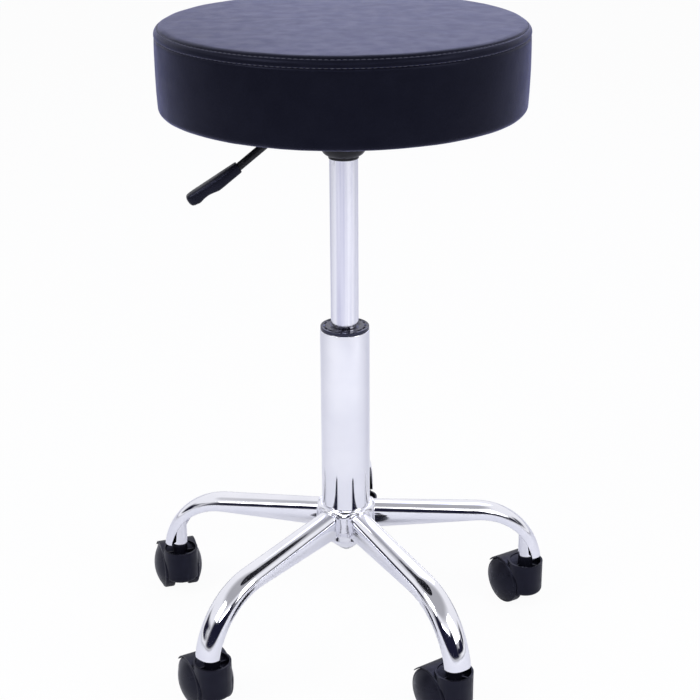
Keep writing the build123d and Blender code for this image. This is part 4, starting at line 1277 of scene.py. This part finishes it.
def build_seat(leather, thread, foam, zinc):
    outline, rows = cover_outline()
    points, faces = lathe(outline, SEAT_SEGMENTS, closed=False)
    soften(points, outline, rows)
    split = 1 + rows[1] * SEAT_SEGMENTS
    seam = split - SEAT_SEGMENTS
    top_faces = [f for f in faces if max(f) < split]
    side_faces = [[c - seam for c in f] for f in faces if max(f) >= split]
    for name, shape, node in (
        ("cover_top_panel", (points[:split], top_faces), "seat_cover_top"),
        ("cover_side_band", (points[seam:], side_faces), "seat_cover_band"),
    ):
        cover = piece(name, shape, "seat", leather, [node], 70)
        thick = cover.modifiers.new("thickness", "SOLIDIFY")
        thick.thickness = COVER_T * MM
        thick.offset = -1
        apply_modifiers(cover)
    for name, row in zip(("upper", "lower"), stitch_rows()):
        stitched = stitches(row, -ROW_GROOVE)
        piece(f"topstitch_{name}_row", stitched, "seat", thread, sharp=80)
    piece("hem_staples", staples(), "seat", zinc, sharp=60)
    pad_shape = lathe(foam_outline(outline, rows), 96, closed=False)
    pad = piece("foam_pad", pad_shape, "seat", foam, ["seat_foam"], 50)


# ---- Carried-over CAD pieces -----------------------------------------------------------
def dress_nodes(finishes):
    """Give every CAD node that still shows its procedural finish."""
    slot_of = {s["node"]: s["material_slot"] for s in frame["record"]["subparts"]}
    for name, obj in frame["nodes"].items():
        if obj.hide_render:
            continue
        obj.data.materials.clear()
        obj.data.materials.append(finishes[slot_of[name]])


# ---- Studio ----------------------------------------------------------------------------
def build_floor():
    """Pale paper that the camera sees nearly white, with the stool's shadow left on it."""
    size = 30.0
    mesh = bpy.data.meshes.new("studio_floor")
    corners = [(-size, -size, 0), (size, -size, 0), (size, size, 0), (-size, size, 0)]
    mesh.from_pydata(corners, [], [(0, 1, 2, 3)])
    floor = new_object("studio_floor", mesh)
    material = bpy.data.materials.new("studio_paper")
    material.use_nodes = True
    tree = material.node_tree
    paper = tree.nodes["Principled BSDF"]
    paper.inputs["Base Color"].default_value = (0.86, 0.86, 0.88, 1.0)
    paper.inputs["Roughness"].default_value = 0.9
    glow = add_node(tree, "ShaderNodeEmission", {"Color": WHITE, "Strength": 1.0})
    rays = add_node(tree, "ShaderNodeLightPath")
    links = {0: rays.outputs["Is Camera Ray"], 1: FLOOR_GLOW}
    share = add_node(tree, "ShaderNodeMath", links, operation="MULTIPLY")
    links = {"Fac": share.outputs[0], 1: paper.outputs["BSDF"], 2: glow.outputs["Emission"]}
    mix = add_node(tree, "ShaderNodeMixShader", links)
    tree.links.new(mix.outputs["Shader"], tree.nodes["Material Output"].inputs["Surface"])
    mesh.materials.append(material)


def build_world():
    """Soft white light; shiny pieces also mirror a dark room in front, dim sides and a dim ceiling."""
    world = bpy.data.worlds.new("studio")
    bpy.context.scene.world = world
    world.use_nodes = True
    tree = world.node_tree
    sky = tree.nodes["Background"]
    sky.inputs["Color"].default_value = (0.93, 0.94, 1.0, 1.0)
    sky.inputs["Strength"].default_value = 0.55

    def add(kind, links=(), **values):
        return add_node(tree, kind, links, **values).outputs

    def times(a, b):
        return add("ShaderNodeMath", {0: a, 1: b}, operation="MULTIPLY")[0]

    def larger(a, b):
        return add("ShaderNodeMath", {0: a, 1: b}, operation="MAXIMUM")[0]

    def mixed(share, a, b):
        return add("ShaderNodeMixShader", {"Fac": share, 1: a, 2: b})[0]

    def eased_in(value, low, high, out_low, out_high):
        return ranged(tree, value, low, high, out_low, out_high)

    place = add("ShaderNodeTexCoord")["Generated"]
    direction = add("ShaderNodeSeparateXYZ", {0: place})
    y, z = direction["Y"], direction["Z"]
    patches = add("ShaderNodeTexNoise", {"Vector": place, "Scale": 2.6, "Detail": 3.0})["Fac"]
    in_front = eased_in(y, -0.62, -0.3, 1.0, 0.0)
    above_floor = eased_in(z, -0.02, 0.06, 0.0, 1.0)
    below_lamps = eased_in(z, 0.52, 0.68, 1.0, 0.0)
    beside = times(eased_in(y, 0.1, 0.5, 1.0, 0.0), eased_in(patches, 0.44, 0.56, 0.2, 1.0))
    low_down = times(eased_in(z, 0.05, 0.1, 0.0, 1.0), eased_in(z, 0.3, 0.45, 1.0, 0.0))
    ceiling = eased_in(z, 0.7, 0.88, 0.0, 0.55)
    room = times(in_front, times(above_floor, below_lamps))
    dark = larger(larger(room, times(beside, low_down)), ceiling)
    tone = add_node(tree, "ShaderNodeValToRGB", {"Fac": dark})
    tone.color_ramp.elements[0].color = (0.97, 0.97, 1.0, 1.0)
    tone.color_ramp.elements[1].color = (0.012, 0.012, 0.03, 1.0)
    mirrored = add("ShaderNodeBackground", {"Color": tone.outputs["Color"], "Strength": 1.0})[0]
    white = add("ShaderNodeBackground", {"Color": WHITE})[0]
    rays = add("ShaderNodeLightPath")
    lit = mixed(rays["Is Glossy Ray"], sky.outputs[0], mirrored)
    seen = mixed(larger(rays["Is Camera Ray"], rays["Is Transmission Ray"]), lit, white)
    tree.links.new(seen, tree.nodes["World Output"].inputs["Surface"])


def area_light(name, place, aim, size, power, colour=(1.0, 1.0, 1.0)):
    lamp = bpy.data.lights.new(name, "AREA")
    lamp.shape = "RECTANGLE"
    lamp.size, lamp.size_y = size
    lamp.energy = power
    lamp.color = colour
    obj = new_object(name, lamp)
    obj.location = place
    obj.rotation_euler = (Vector(aim) - Vector(place)).to_track_quat("-Z", "Y").to_euler()


def build_lights():
    aim = (0.0, 0.0, 0.35)
    area_light("key", (-1.5, -1.3, 2.1), aim, (1.2, 1.2), 26.0)
    area_light("fill", (1.9, -0.9, 1.5), aim, (1.0, 1.4), 16.0)
    area_light("back", (0.3, 2.0, 1.8), aim, (1.6, 1.0), 9.0, (0.6, 0.63, 1.0))
    area_light("front", (0.3, -2.3, 1.75), (0.0, 0.0, 0.6), (1.8, 0.3), 15.0, (0.85, 0.87, 1.0))


def build_camera():
    camera = bpy.data.cameras.new("camera")
    camera.sensor_width = 36.0
    camera.lens = CAMERA_LENS
    obj = new_object("camera", camera)
    heading, tilt, roll = CAMERA_TURNS
    turn = turn_z(radians(heading)) @ Matrix.Rotation(radians(tilt), 4, "X") @ turn_z(radians(roll))
    obj.matrix_world = Matrix.Translation(Vector(CAMERA_AT) * MM) @ turn
    bpy.context.scene.camera = obj


def main():
    chrome, welded, satin, zinc = chrome_finish(), weld_finish(), satin_finish(), zinc_finish()
    black = (0.004, 0.004, 0.007), (0.007, 0.007, 0.012)
    plastic = plastic_finish("moulded_black", *black, 0.5, 0.3, 0.44)
    wheels = plastic_finish("wheel_black", (0.005, 0.005, 0.008), (0.009, 0.009, 0.014), 0.35, 0.26, 0.38)
    glossy = plastic_finish("moulded_bush", *black, 2.0, 0.1, 0.18, 0.75)
    leather, thread, powder = leather_finish(), thread_finish(), powder_finish()
    foam, fleece = foam_finish(), fleece_finish()
    build_base(chrome, welded, glossy)
    build_lift(satin, powder)
    build_lever(powder, plastic, zinc)
    build_casters(plastic, wheels, chrome, zinc)
    build_seat(leather, thread, foam, zinc)
    bevel(frame["nodes"]["mounting_plate"], PLATE_EDGE, 40)
    dress_nodes({
        "chrome": chrome, "zinc_steel": zinc, "satin_steel": satin, "black_plastic": plastic,
        "wheel_plastic": wheels, "black_steel": powder, "lever_steel": powder,
        "inner_plastic": acetal_finish(), "rubber": rubber_finish(), "leatherette": leather,
        "foam": foam, "dust_cloth": fleece, "plywood": plywood_finish(),
    })
    build_floor()
    build_world()
    build_lights()
    build_camera()
    bpy.context.scene.view_settings.view_transform = "Standard"


main()
